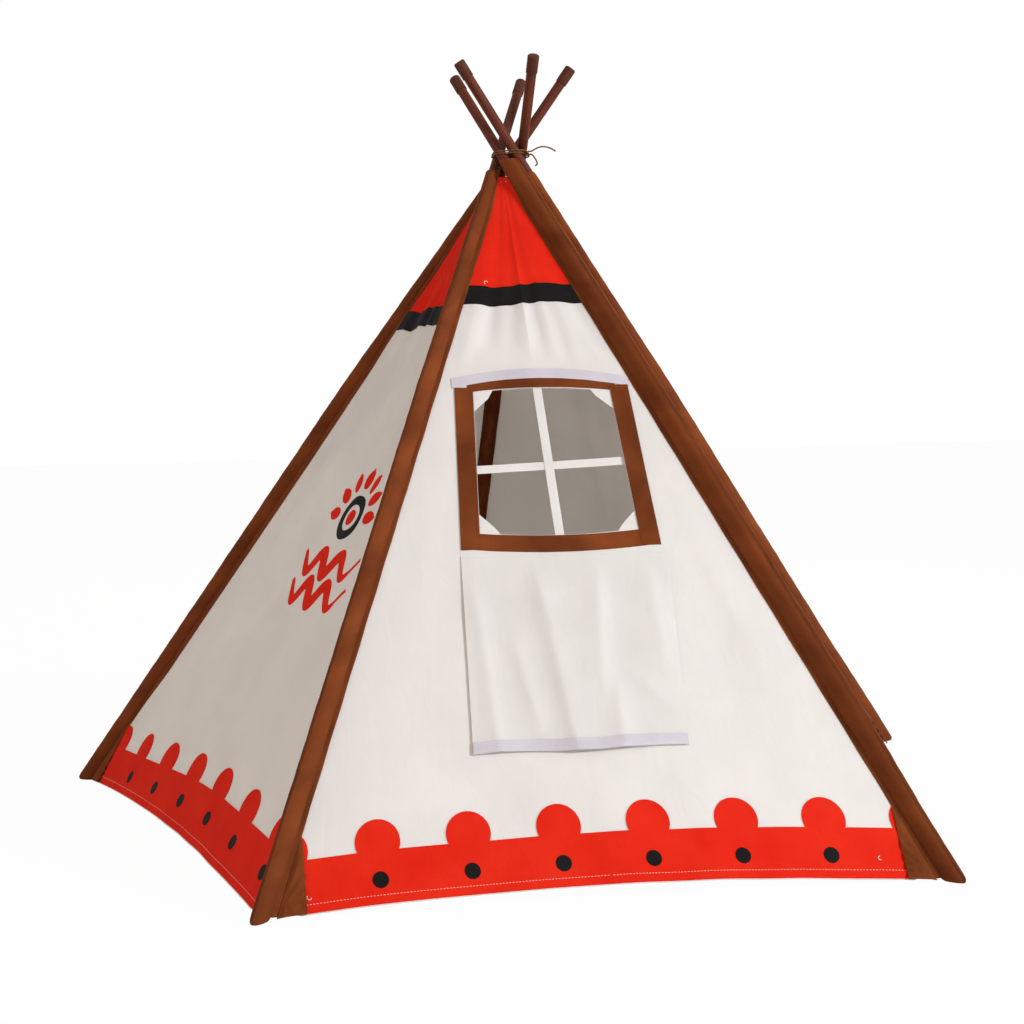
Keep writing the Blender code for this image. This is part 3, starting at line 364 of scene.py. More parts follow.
def twisted(name, points, material, radius=CORD_RADIUS, lobes=3):
    """Cord of twisted strands along evenly smoothed points."""
    points = np.asarray(points, float)
    steps = np.linalg.norm(np.diff(points, axis=0), axis=1)
    travelled = np.concatenate(((0,), np.cumsum(steps)))
    fine = np.linspace(0, travelled[-1], max(8, int(travelled[-1] / 0.0008)))
    line = np.stack([np.interp(fine, travelled, points[:, i]) for i in range(3)], 1)
    for _ in range(2):
        line[1:-1] = (line[:-2] + 2 * line[1:-1] + line[2:]) / 4
    tangents = unit(np.gradient(line, axis=0))
    side = unit(np.cross(tangents[0], UP if abs(tangents[0][2]) < 0.9 else np.array((1.0, 0, 0))))
    across, upward = [], []
    for tangent in tangents:
        side = unit(side - np.dot(side, tangent) * tangent)
        across.append(side)
        upward.append(np.cross(tangent, side))
    angles = np.linspace(0, 2 * math.pi, 18, endpoint=False)
    radii = []
    for length in fine:
        wave = np.abs(np.cos(lobes / 2 * angles - STRAND_TWIST * length))
        end = min(length, fine[-1] - length)
        radii.append(radius * (0.84 + 0.16 * wave) * (0.55 + 0.45 * min(end / 0.0012, 1)))
    item = tube(name, line, across, upward, radii, angles, fine, material)
    return item, travelled[-1]


print("helpers for tubes and cords are ready")

# %% Winding and knot
POLE_RADIUS = 0.0100
KNOT_ANGLE = math.radians(-36)
KNOT_DEPTH, KNOT_WIDTH = 0.008, 0.012
STANDOFF = CORD_RADIUS + 0.0005 + KNOT_DEPTH / 2


def lashing_point(angle, height, extra=0.0):
    """Point of the cord in a level direction, clear of every pole, leaning or upright."""
    direction = np.array((math.cos(angle), math.sin(angle), 0.0))
    long = POLE_RADIUS / UPRIGHT
    supports = []
    for corner in range(5):
        along = np.dot(direction, lean(corner)) * long
        beside = np.dot(direction, swing_axis(corner)) * POLE_RADIUS
        size = math.hypot(along, beside)
        leaning = foot(corner) + pole_axis(corner) * height / UPRIGHT
        leaning = leaning + lean(corner) * along * long / size
        leaning = leaning + swing_axis(corner) * beside * POLE_RADIUS / size
        upright = crossing(corner) + direction * POLE_RADIUS
        upright[2] = height
        supports += [leaning, upright]
    farthest = max(supports, key=lambda point: np.dot(point, direction))
    return farthest + direction * (0.0007 + CORD_RADIUS + extra)


knot_away = np.array((math.cos(KNOT_ANGLE), math.sin(KNOT_ANGLE), 0.0))
knot_along = np.cross(UP, knot_away)
aim = math.radians(1)
knot_middle = (lashing_point(KNOT_ANGLE - aim, WAIST_HEIGHT)
               + lashing_point(KNOT_ANGLE + aim, WAIST_HEIGHT)) / 2 + STANDOFF * knot_away


def winding():
    first, last, turn, turns = math.radians(40), math.radians(75), 2 * math.pi, 2
    climb = 0.0040 * turns / 2
    points = []
    for swept in np.linspace(first, turn * turns - first, 170):
        height = WAIST_HEIGHT - climb + 2 * climb * swept / (turn * turns)
        to_knot = min(swept, turn * turns - swept)
        rise = 1 - smooth((to_knot - first / 2) / (last - first / 2))
        points.append(lashing_point(KNOT_ANGLE + swept, height, STANDOFF * rise / 2))
    near = KNOT_WIDTH / 2 - 0.001
    far = KNOT_WIDTH / 2 + 0.0035
    start = [knot_middle + knot_along * d - UP * climb for d in (near, far)]
    end = [knot_middle - knot_along * d + UP * climb for d in (far, near)]
    return start + points + end


cord_winding, winding_length = twisted("lashing_winding", winding(), cord_cotton)
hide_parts("lashing_cord")
turns = np.linspace(0, 2 * math.pi, 90)
knot_line = [knot_middle
             + knot_away * -math.sin(3 * t) * 0.0023
             + knot_along * (math.sin(t) + 2 * math.sin(2 * t)) * 0.00150
             + UP * (math.cos(t) - 2 * math.cos(2 * t)) * 0.00158 for t in turns]
knot, _ = twisted("lashing_knot_of_cord", knot_line, cord_cotton, radius=0.0017)
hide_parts("lashing_knot")
for item in (cord_winding, knot):
    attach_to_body(item, "canvas")
print("winding is", round(winding_length, 3), "m long")

# %% Loose tails
# routes from the knot, in millimetres: away from the poles, along the cord and up
LONG_TAIL = ((0, 0, 2.5), (6, 0.5, 3), (13.5, 4, 7.5), (22, 10, 11), (31, 17, 10.5),
             (39, 24, 7), (45, 29, 2))
SHORT_TAIL = ((0, 0, -3), (5.5, 0.5, -4), (9.5, 3, -9.5), (12.5, 6, -16), (13.5, 8, -22.5),
              (9.5, 7, -26.5))


def smooth_route(stops, steps=12):
    """Smooth curve through a route's own points."""
    stops = np.asarray(stops, float)
    guides = np.concatenate(([2 * stops[0] - stops[1]], stops, [2 * stops[-1] - stops[-2]]))
    fine = []
    for before, start, end, after in zip(guides, guides[1:], guides[2:], guides[3:]):
        for t in np.arange(steps) / steps:
            once = (end - before) * t
            squared = (2 * before - 5 * start + 4 * end - after) * t ** 2
            cubed = (3 * start - before - 3 * end + after) * t ** 3
            fine.append((2 * start + once + squared + cubed) / 2)
    return fine + [stops[-1]]


for name, route in (("long_tail", LONG_TAIL), ("short_tail", SHORT_TAIL)):
    start = knot_middle + knot_away * (KNOT_DEPTH / 2 + 0.0003)
    stops = [start + (knot_away * x + knot_along * y + UP * z) / 1000 for x, y, z in route]
    line = smooth_route(stops)
    tail, length = twisted(f"lashing_{name}_cord", line, cord_cotton)
    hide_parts("lashing_" + name)
    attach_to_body(tail, "canvas")
    print(name, "is", round(length, 4), "m long")

# %% [markdown]
# ## Sizes of the cloth
# The rises and widths below are the object's own. The canvas ends a tuck away from the
# pole's axis, between the sleeve's layers. The hem arches up between the feet, because
# canvas under tension pulls straight from sleeve to sleeve.

# %% Cloth sizes
PANEL = 0.0015
TUCK, TUBE_REACH = 0.0145, 0.0126
BAND_LOW, BAND_HIGH, BAND_DROP, CROWN_TOP = 1.1290, 1.1720, 0.0410, 1.4360
WINDOW_LOW, WINDOW_HIGH = 0.6450, 0.9290
WINDOW_CUT = 0.036
BAR_RISE = 0.778
FLAP_TOP, FLAP_LENGTH = 0.6005, 0.357
FLAP_LEFT, FLAP_RIGHT, FLAP_SKEW = -0.177, 0.188, 0.019
DOOR_TOP = 0.950
HEM_ARCH, HEM_FADE = 0.023, 0.3
BASE_HEIGHT = 0.084
SCALLOP_RISE, SCALLOP_RADIUS = 0.050, 0.036
WING, SLIM_WING = 0.022, 0.0165
TAPER_START, TAPER_LENGTH = LEG - 0.1614, 0.090
SLEEVE_TOPS = (1.552, 1.574, 1.545, 1.545, 1.548)


def wing_reach(rise):
    """How far a sleeve's flat edge stands out from its pole, along the wall."""
    share = np.clip((np.asarray(rise) / RISE_SHARE - TAPER_START) / TAPER_LENGTH, 0, 1)
    return WING + (SLIM_WING - WING) * share


def sleeve_edge(rise):
    return half_width(rise) - wing_reach(rise)


def hem(side):
    """Rise of the hem."""
    return HEM_ARCH * (1 - (side / sleeve_edge(0)) ** 2)


def deeper(wall, side):
    """How much deeper the left wall's hem band is, towards the front pole."""
    return 0.017 * smooth((side + 0.33) / 0.50) if wall == LEFT else 0.0 * side


def band_limits(wall):
    """Edges of a wall's black band; it is lower on walls without a window."""
    drop = 0 if wall == FRONT else BAND_DROP
    return BAND_LOW - drop, BAND_HIGH - drop


def ridge(offset, steep, gentle):
    """Fold with one steep side and one gentle side."""
    width = np.where(offset < 0, steep, gentle)
    return np.exp(-np.abs(offset / width) ** 1.4)


# slack beside the window: side at a level, slant, level, steep and gentle width, height,
# and the rises where the fold ends and starts
FRONT_FOLDS = (
    (0.245, 0.30, 0.60, 0.020, 0.045, 0.0034, 0.66, 0.24),
    (-0.300, -0.42, 0.50, 0.018, 0.040, 0.0022, 0.62, 0.22),
)


def relief(wall, side, rise):
    """Folds of the hung cloth, none where the sleeves hold it."""
    share = np.clip(side / sleeve_edge(rise), -1, 1)
    hold = 1 - share ** 4
    near_band = smooth((rise - 0.985) / 0.075)
    near_band = near_band * (1 - smooth((rise - 1.060) / (CROWN_TOP - 1.060)))
    drape = 0.004 * np.sin(5 * share) * near_band
    # soft upright folds below the black band, calmer in the crown
    gather = smooth((rise - 0.985) / 0.09) * (1 - 0.8 * smooth((rise - 1.14) / 0.10))
    folds = 0.0026 * np.sin(8.0 * share + 1.3 * wall + 2.5 * rise)
    folds += 0.0017 * np.sin(18.0 * share - 4.0 * rise + wall)
    # long slack waves of a wall, and folds that point up to the lashing
    waves = 0.0022 * np.sin(13 * side + 5 * rise + wall)
    waves += 0.0012 * np.sin(7 * rise - 19 * side + 2 * wall)
    rays = 0.0017 * np.sin(23 * share + 2.1 * wall + 1.5 * rise)
    rays *= 0.5 + 0.5 * np.sin(6 * rise + 4 * share + 1.7 * wall)
    waves = (waves + rays) * smooth((CROWN_TOP - rise) / 0.3)
    if wall == FRONT:
        # the window and its frame hold the cloth flat; slack gathers beside them
        calm = smooth((0.27 - np.abs(side)) / 0.07) * smooth((rise - 0.17) / 0.07)
        waves *= 1 - 0.8 * calm * smooth((1.03 - rise) / 0.05)
        for place, slant, level, steep, gentle, height, end, start in FRONT_FOLDS:
            fold = ridge(side - place - slant * (level - rise), steep, gentle)
            waves += height * fold * smooth((end - rise) / 0.12) * smooth((rise - start) / 0.2)
    return hold * (drape + folds * gather + waves)


print("half a wall is", round(float(sleeve_edge(0)), 3), "m wide at the floor")

# %% [markdown]
# ## Sheets
# A cloth here is two like surfaces with a rim between them. The grid of places is flat,
# in metres on the wall, and doubles as the UV map, so a weave keeps its real size and
# follows the cloth. A sheet that crosses the middle of a wall is made as two halves,
# because each half must go with its own pole when the teepee folds.


# %% Helpers for sheets
def grid_polygons(rows, columns):
    r, c = np.mgrid[0:rows - 1, 0:columns - 1].reshape(2, -1)
    first = r * columns + c
    return np.stack((first, first + 1, first + columns + 1, first + columns), 1).tolist()


def flat_area(places, polygons):
    total = 0.0
    for polygon in polygons:
        x, y = places[polygon].T
        total += abs(np.dot(x, np.roll(y, -1)) - np.dot(y, np.roll(x, -1))) / 2
    return total


def clean(item):
    """Merge points that a slanting edge has brought together."""
    mesh = bmesh.new()
    mesh.from_mesh(item.data)
    bmesh.ops.remove_doubles(mesh, verts=mesh.verts, dist=1e-6)
    bmesh.ops.dissolve_degenerate(mesh, edges=mesh.edges, dist=1e-6)
    mesh.to_mesh(item.data)
    mesh.free()


def sheet(name, wall, places, polygons, low, high, material, wave=None):
    """Closed cloth over flat places of a wall, between two lifts above the relief."""
    places = np.asarray(places, float)
    side, rise = places.T
    base = relief(wall, side, rise) + (0 if wave is None else wave(side, rise))
    x, y = places[polygons[0]].T
    if np.dot(x, np.roll(y, -1)) < np.dot(y, np.roll(x, -1)):
        polygons = [list(reversed(polygon)) for polygon in polygons]
    outer = wall_points(wall, side, rise, base + high)
    inner = wall_points(wall, side, rise, base + low)
    count = len(places)
    faces = [list(polygon) for polygon in polygons]
    faces += [[i + count for i in reversed(polygon)] for polygon in polygons]
    edges = set()
    for polygon in polygons:
        edges.update(zip(polygon, polygon[1:] + polygon[:1]))
    faces += [[b, a, a + count, b + count] for a, b in sorted(edges) if (b, a) not in edges]
    points = np.concatenate((outer, inner))
    item = new_object(name, points, faces, np.tile(places, (2, 1)), material)
    item["flat_area"] = flat_area(places, polygons)
    item["flat_size"] = list(np.ptp(places, axis=0))
    return item


def grid(sides, rises):
    """Places and polygons of a grid given as two equal tables."""
    sides, rises = np.broadcast_arrays(sides, rises)
    return np.stack((sides.ravel(), rises.ravel()), 1), grid_polygons(*sides.shape)


# %% [markdown]
# ## Riding
# The poles swing upright about the lashing when the teepee is put away. What is sewn
# between two poles rides on the body of the nearer one.


# %% Riding helper
def corner_of(wall, way):
    """The corner that one half of a wall hangs from: way is -1 on its left."""
    return (wall if way < 0 else wall + 1) % 5


def body_of_corner(corner):
    return CORNERS[corner] + "_pole_body"


def fold_with(item, wall, way, body=None):
    corner = corner_of(wall, way)
    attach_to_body(item, body or body_of_corner(corner))
    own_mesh(item)
    return item


SIDES = {-1: "left", 1: "right"}
HALVES = [(wall, way) for wall in range(5) for way in (-1, 1)]
sheets = []

# %% [markdown]
# ## Poles and caps
# Each pole is a round stick, sanded and stained, with a rubber cap pushed over its top.
# Its foot stands inside the closed end of the sleeve. A lathe profile gives both.


# %% Poles and caps
def turned(name, corner, profile, material, node):
    """Round piece about a pole's axis: profile is (reach, radius) pairs."""
    axis = pole_axis(corner)
    reaches, radii = np.array(profile, float).T
    angles = np.linspace(0, 2 * math.pi, 32, endpoint=False)
    centres = [foot(corner) + reach * axis for reach in reaches]
    across = [swing_axis(corner)] * len(centres)
    upward = [np.cross(swing_axis(corner), axis)] * len(centres)
    rings = [np.full(32, radius) for radius in radii]
    item = tube(name, centres, across, upward, rings, angles, reaches, material)
    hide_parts(node)
    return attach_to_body(item, body_of_corner(corner))


POLE_TOP = LEG + 0.2121
POLE_START = (0.0034 + POLE_RADIUS * math.sqrt(1 - UPRIGHT ** 2)) / UPRIGHT
for corner, name in enumerate(CORNERS):
    end = POLE_TOP - 0.0034
    stick = [(POLE_START, 0.009), (POLE_START + 0.001, 0.010)]
    stick += [(reach, 0.0100 + 0.00012 * math.sin(reach * 37 + corner * 2) * math.sin(reach * 11))
              for reach in np.linspace(0.05, end - 0.05, 60)]
    stick += [(end - 0.001, 0.010), (end, 0.009)]
    turned(f"{name}_stick", corner, stick, stained_wood, f"{name}_pole")
    curve = [(POLE_TOP - 0.003 * (1 - math.sin(a)), 0.0085 + 0.003 * math.cos(a))
             for a in np.linspace(math.pi / 2, 0, 7)]
    cap = [(POLE_TOP, 0.004)] + curve
    cap += [(POLE_TOP - 0.030, 0.0115), (POLE_TOP - 0.0302, 0.0112), (POLE_TOP - 0.0315, 0.0112),
            (POLE_TOP - 0.0317, 0.0115), (POLE_TOP - 0.0355, 0.0115), (POLE_TOP - 0.036, 0.0112),
            (POLE_TOP - 0.036, 0.0104), (POLE_TOP - 0.003, 0.0104)]
    turned(f"{name}_rubber_cap", corner, cap, cap_rubber, f"{name}_pole_cap")
print("poles reach", round(float((foot(0) + POLE_TOP * pole_axis(0))[2]), 3), "m up")

# %% [markdown]
# ## Wall panels
# Four walls and the panel over the doorway are single cuts of canvas. Each half runs from
# the wall's centreline to under the sleeve. The front one has the window cut out of it,
# with its four corners left on as small triangles.


# %% Plain panels
LAP = 0.010


def low_edge(side):
    """Hem line, kept a little higher behind the gussets and the sleeves."""
    return hem(side) + 0.010 * smooth((np.abs(side) - sleeve_edge(0) + 0.035) / 0.020)


def follow_hem(sides, rises):
    """Rises of cloth whose foot follows the hem; the arch fades out further up."""
    return rises + low_edge(sides) * np.clip(1 - rises / HEM_FADE, 0, 1)


def add_canvas(wall, way, places, polygons, node):
    name = f"{WALLS[wall]}_canvas_{SIDES[way]}"
    item = sheet(name, wall, places, polygons, 0, PANEL, cream_canvas)
    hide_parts(node)
    sheets.append(fold_with(item, wall, way))


def add_panel(wall, way, low, rows, node):
    rises = np.linspace(low, band_limits(wall)[0] + LAP, rows)[:, None]
    sides = way * (half_width(rises) - TUCK) * np.linspace(0, 1, 38)
    add_canvas(wall, way, *grid(sides, follow_hem(sides, rises)), node)


for wall in (RIGHT, BACK, LEFT):
    for way in (-1, 1):
        add_panel(wall, way, 0.0, 76, WALLS[wall] + "_wall_panel")
for way in (-1, 1):
    add_panel(DOOR, way, DOOR_TOP, 14, "door_top_panel")
print(len(sheets), "plain panel halves")


# %% Front panel with its window
def window_edge(rise, way):
    """Distance of the opening's side from the wall's middle; it narrows upward."""
    share = (rise - WINDOW_LOW) / (WINDOW_HIGH - WINDOW_LOW)
    if way < 0:
        return 0.138 + (0.117 - 0.138) * share
    return 0.144 + (0.137 - 0.144) * share


def window_bow(side, depth):
    """Bow of the opening's lower or upper edge."""
    return depth * np.clip(1 - (side / 0.14) ** 2, 0, 1)


def front_half(way):
    """Places and polygons of one half of the front panel, with its part of the opening."""
    cut = WINDOW_CUT
    rises = np.concatenate((
        np.linspace(0, WINDOW_LOW, 42),
        np.linspace(WINDOW_LOW, WINDOW_LOW + cut, 5)[1:],
        np.linspace(WINDOW_LOW + cut, WINDOW_HIGH - cut, 14)[1:],
        np.linspace(WINDOW_HIGH - cut, WINDOW_HIGH, 5)[1:],
        np.linspace(WINDOW_HIGH, BAND_LOW + LAP, 15)[1:],
    ))
    first, last = 41, 41 + 4 + 13 + 4
    rows = []
    for rise in rises:
        nearest = min(max(rise, WINDOW_LOW), WINDOW_HIGH)
        opening = window_edge(nearest, way)
        edge = half_width(nearest) - TUCK
        sides = np.concatenate((
            np.linspace(0, opening - cut, 9),
            np.linspace(opening - cut, opening, 5)[1:],
            np.linspace(opening, edge, 26)[1:],
        ))
        scale = (half_width(rise) - TUCK) / edge
        sides = way * sides * scale
        bend = follow_hem(sides, rise)
        if rise <= WINDOW_LOW:
            ease = np.clip(1 - (WINDOW_LOW - rise) / 0.1, 0, 1)
            bend = bend - window_bow(sides, 0.008) * ease
        if rise >= WINDOW_HIGH - 1e-9:
            ease = np.clip(1 - (rise - WINDOW_HIGH) / 0.12, 0, 1)
            bend = bend + window_bow(sides, 0.012) * ease
        rows.append(np.stack((sides, bend), 1))
    places = np.concatenate(rows)
    columns = len(rows[0])
    edge_column = 8 + 4
    polygons = []
    for row in range(len(rises) - 1):
        for column in range(columns - 1):
            a = row * columns + column
            cell = [a, a + 1, a + columns + 1, a + columns]
            in_window = first <= row < last and column < edge_column
            from_side = edge_column - 1 - column
            from_end = min(row - first, last - 1 - row)
            if not in_window or from_side + from_end < 3:
                polygons.append(cell)
            elif from_side + from_end == 3 and from_side < 4:
                at_foot = row - first < last - 1 - row
                polygons.append([a, a + 1, a + columns + 1] if at_foot else
                                [a + 1, a + columns + 1, a + columns])
    return places, polygons


for way in (-1, 1):
    add_canvas(FRONT, way, *front_half(way), "front_wall_panel")
print("front panel halves:", [round(s["flat_area"], 3) for s in sheets[-2:]], "square metres")

# %% [markdown]
# ## Bands and crown
# The black band covers the seam between canvas and crown, so it lies on both. The red
# crown closes the top and narrows into the sleeves under the lashing.

# %% Black bands and red crowns
BAND_LIFT, BAND_TOP = 0.0017, 0.0028
attached = {}


def attach(item, wall, way, slot, *nodes):
    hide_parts(*nodes)
    attached.setdefault((wall, way), []).append(fold_with(item, wall, way))


for wall, way in HALVES:
    band_low, band_high = band_limits(wall)
    rises = np.linspace(band_low, band_high, 6)[:, None]
    sides = way * (half_width(rises) - TUCK) * np.linspace(0, 1, 12)
    ripple = 0.0022 * np.sin(41 * sides + 3 * wall) * (1 - np.abs(sides) / 0.2)
    item = sheet(f"{WALLS[wall]}_black_{SIDES[way]}", wall, *grid(sides, rises + ripple),
                 BAND_LIFT, BAND_TOP, black_cotton)
    attach(item, wall, way, "black_cloth", WALLS[wall] + "_black_band")
    rises = np.linspace(band_high - 0.008, CROWN_TOP, 40)[:, None]
    sides = way * (half_width(rises) - TUCK) * np.linspace(0, 1, 12)
    item = sheet(f"{WALLS[wall]}_crown_{SIDES[way]}", wall, *grid(sides, rises),
                 0, PANEL, red_cotton)
    attach(item, wall, way, "red_cloth", WALLS[wall] + "_red_top")
print("bands and crowns:", sum(len(v) for v in attached.values()))

# %% [markdown]
# ## Scalloped hem
# A red band runs along each hem, with round-topped tabs rising from it. Each tab is a
# short neck with a half circle on top. Drawing the band in columns lets a tab start
# exactly at its neck, and a tab at a sleeve is cut by the sleeve's slant. On the left
# wall the band gets a little deeper towards the front pole.

# %% Base bands
# pitch of the tabs and offset of the first from the wall's middle, in pitches
PITCH = {FRONT: (0.1455, 0.5), DOOR: (0.1455, 0.5), RIGHT: (0.156, 0), BACK: (0.156, 0),
         LEFT: (0.1575, 0.04)}
SEAM_GAP = 0.0004
CENTRE_RISE = SCALLOP_RISE - SCALLOP_RADIUS
NECK = math.sqrt(SCALLOP_RADIUS ** 2 - CENTRE_RISE ** 2)


def scallop_centres(wall, way):
    pitch, offset = PITCH[wall]
    centres = [(i + offset) * pitch for i in range(-5, 6)]
    return [c for c in centres if way * c > -SCALLOP_RADIUS + 1e-6 and abs(c) < 0.54]


def base_places(wall, way, inner=0.0, outer_gap=0.0):
    """Band with its tabs, from the wall's middle to the sleeve."""
    gap = SEAM_GAP + outer_gap
    outer = float(sleeve_edge(BASE_HEIGHT)) - gap
    stops = set(np.round(np.linspace(inner, outer, 60), 6))
    tabs = []
    for centre in scallop_centres(wall, way):
        start, end = centre - NECK, centre + NECK
        low, high = sorted((way * start, way * end))
        low, high = max(low, inner), min(high, outer)
        if high - low < 0.001:
            continue
        arc = [way * centre + NECK * math.cos(math.pi * i / 18) for i in range(19)]
        inside = [round(x, 6) for x in arc if low < x < high] + [round(low, 6), round(high, 6)]
        stops = {x for x in stops if not low < x < high} | set(inside)
        tabs.append((way * centre, round(low, 6), round(high, 6)))
    stops = np.array(sorted(stops))
    heights = np.array((0.0015, 0.014, 0.028, 0.046, 0.065, BASE_HEIGHT))[:, None]
    limit = sleeve_edge(heights) - gap
    stretch = inner + (stops - inner) * (limit - inner) / (outer - inner)
    parts = [np.stack((stretch.ravel(), np.broadcast_to(heights, stretch.shape).ravel()), 1)]
    polygons = grid_polygons(*stretch.shape)
    count = stretch.size
    top_row = (len(heights) - 1) * len(stops)
    for centre, low, high in tabs:
        columns = np.nonzero((stops >= low - 1e-9) & (stops <= high + 1e-9))[0]
        xs = stops[columns]
        out = (xs - centre) / NECK
        top = CENTRE_RISE + SCALLOP_RADIUS * np.sqrt(np.clip(1 - out ** 2, 0, None))
        before = list(top_row + columns)
        for step in range(1, 8):
            height = top * step / 7
            below = np.clip(CENTRE_RISE - height, 0, None)
            x = centre + out * np.sqrt(SCALLOP_RADIUS ** 2 - below ** 2)
            rise = BASE_HEIGHT + height
            x = np.clip(x, inner, sleeve_edge(rise) - gap)
            parts.append(np.stack((x, rise), 1))
            row = list(range(count, count + len(xs)))
            polygons += [[int(a), int(b), d, c]
                         for a, b, c, d in zip(before, before[1:], row, row[1:])]
            before = row
            count += len(xs)
    places = np.concatenate(parts)
    places[:, 0] *= way
    deep = deeper(wall, places[:, 0]) * np.clip(places[:, 1] / 0.030, 0, 1)
    places[:, 1] += hem(places[:, 0]) + deep
    return places, polygons


for wall, way in HALVES:
    if wall == DOOR:
        continue
    item = sheet(f"{WALLS[wall]}_base_{SIDES[way]}", wall, *base_places(wall, way),
                 BAND_LIFT, BAND_TOP, red_cotton)
    clean(item)
    attach(item, wall, way, "red_cloth", WALLS[wall] + "_base_band")
print("last base band has", len(item.data.polygons), "faces")

# %% [markdown]
# ## Sleeves
# Each sleeve is a brown strip folded round its pole and sewn flat along both edges,
# with the wall's edge between its layers. The round part never changes shape; the two
# flat edges are pieces of their own, each riding on its pole.
# The tube has a ridge that faces outward. It slims towards the top and is sewn a little
# fuller or tighter from pole to pole, as the photo shows.

# %% Sleeve tubes
TUBE_ANGLES = np.radians((0, 15, 30, 45, 60, 75, 90, 103, 120, 140, 160, 180))
TUBE_RADII = np.array((26.0, 24.4, 20.8, 17.6, 15.3, 14.1,
                       13.5, 13.0, 12.4, 12.2, 12.2, 12.2)) / 1000
ROUND_RADIUS, BORE = 0.0142, 0.0106
RIDGE = 0.026 - ROUND_RADIUS
# by corner: how much further the ridge stands out, and what share of it slims away
FULLER = (0.0, 0.006, -0.004, 0.0, 0.0)
THINNING = (1.0, 0.4, 1.0, 1.0, 1.0)

all_angles = np.concatenate((TUBE_ANGLES, 2 * math.pi - TUBE_ANGLES[-2:0:-1]))
all_radii = np.concatenate((TUBE_RADII, TUBE_RADII[-2:0:-1]))
past_round = np.clip(all_radii - ROUND_RADIUS, 0, 1)
sleeves = []
for corner in range(5):
    top = SLEEVE_TOPS[corner]
    ends = (0, 0.004, 0.009, 0.016), (top - 0.006, top - 0.003, top)
    reaches = np.concatenate((ends[0], np.linspace(0.03, top - 0.012, 150), ends[1]))
    sizes = np.ones(len(reaches))
    sizes[:3] = 0.80, 0.92, 0.985
    sizes[-3:] = 0.99, 0.96, 0.90
    slim = np.clip((reaches - 1.02) / 0.50, 0, 1) * THINNING[corner]
    rings, centres = [], []
    for reach, size, thin in zip(reaches, sizes, slim):
        swell = past_round * (thin - FULLER[corner] / RIDGE * smooth((reach - 0.10) / 0.25))
        crease = 0.00035 * np.sin(reach * 61 + 2 * all_angles) * np.sin(reach * 23 + corner)
        crease += 0.0002 * np.sin(reach * 173 - 3 * all_angles)
        crease *= np.clip((reach - 0.02) / 0.05, 0, 1)
        rings.append((all_radii - swell + crease) * size)
        centres.append(foot(corner) + reach * pole_axis(corner))
    rings += [np.full(len(all_angles), BORE)] * 2
    centres += [centres[-1], foot(corner) + 0.0045 * pole_axis(corner)]
    count = len(centres)
    item = tube(f"{CORNERS[corner]}_sleeve_tube", centres, [swing_axis(corner)] * count,
                [lean(corner) / UPRIGHT] * count, rings, all_angles,
                np.concatenate((reaches, (top + 0.004, 0.0))), brown_cotton)
    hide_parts(CORNERS[corner] + "_pole_sleeve")
    sleeves.append(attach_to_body(item, body_of_corner(corner)))
print("sleeve tubes:", [len(s.data.polygons) for s in sleeves])

# %% Flat edges of the sleeves
OUTER_LIFTS = np.array((4.3, 3.9, 3.6, 3.35, 2.9, 2.3)) / 1000
EDGE_SHARES = np.array((0, 0.35, 0.65, 0.86, 0.96, 1.0))
WIDER_EDGES = {(RIGHT, 1): 0.012, (LEFT, -1): 0.014}
EDGE_LIFT, EDGE_KEEP = 0.0017, 0.3


def edge_reach(wall, way, rise):
    """Reach of a sleeve's flat edge; those beside the rear poles are wider."""
    extra = smooth((rise - 0.16) / 0.14) * (1 - smooth((rise - 1.22) / 0.15))
    return wing_reach(rise) + WIDER_EDGES.get((wall, way), 0) * extra


def sleeve_flat(wall, way):
    corner = corner_of(wall, way)
    top = SLEEVE_TOPS[corner] * RISE_SHARE - 0.001
    rises = np.linspace(0.004, top, 110)[:, None]
    half = half_width(rises)
    reach = edge_reach(wall, way, rises) + 0.0004 * np.sin(rises * 61 + corner)
    sides = way * (half - TUBE_REACH - (reach - TUBE_REACH) * EDGE_SHARES)
    layer = grid(sides, rises)
    taper = 1 - 0.35 * smooth((rises - 1.34) / 0.05)
    lifts = EDGE_LIFT + ((OUTER_LIFTS - EDGE_LIFT) * taper).ravel()
    upper = sheet(f"{WALLS[wall]}_{SIDES[way]}_sleeve_edge", wall, *layer,
                  EDGE_LIFT, lifts, brown_cotton)
    under = sheet("under", wall, *layer, -0.0015, -0.0003, brown_cotton)
    with bpy.context.temp_override(active_object=upper, selected_editable_objects=[upper, under]):
        bpy.ops.object.join()
    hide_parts(CORNERS[corner] + "_pole_sleeve")
    return fold_with(upper, wall, way)


edges = [sleeve_flat(wall, way) for wall, way in HALVES]
print("flat edges:", len(edges))

# %% [markdown]
# ## Gussets
# A small brown cloth is gathered into each bottom corner. It hides where the hem ends
# and lets the foot spread. Its pleats run down from the corner's tip.


# %% Gussets
GUSSET_HEIGHT, GUSSET_WIDTH, GUSSET_GAP = 0.118, 0.047, 0.0006
GUSSET_PLACES = [half for half in HALVES if half[0] != DOOR and half != (LEFT, 1)]


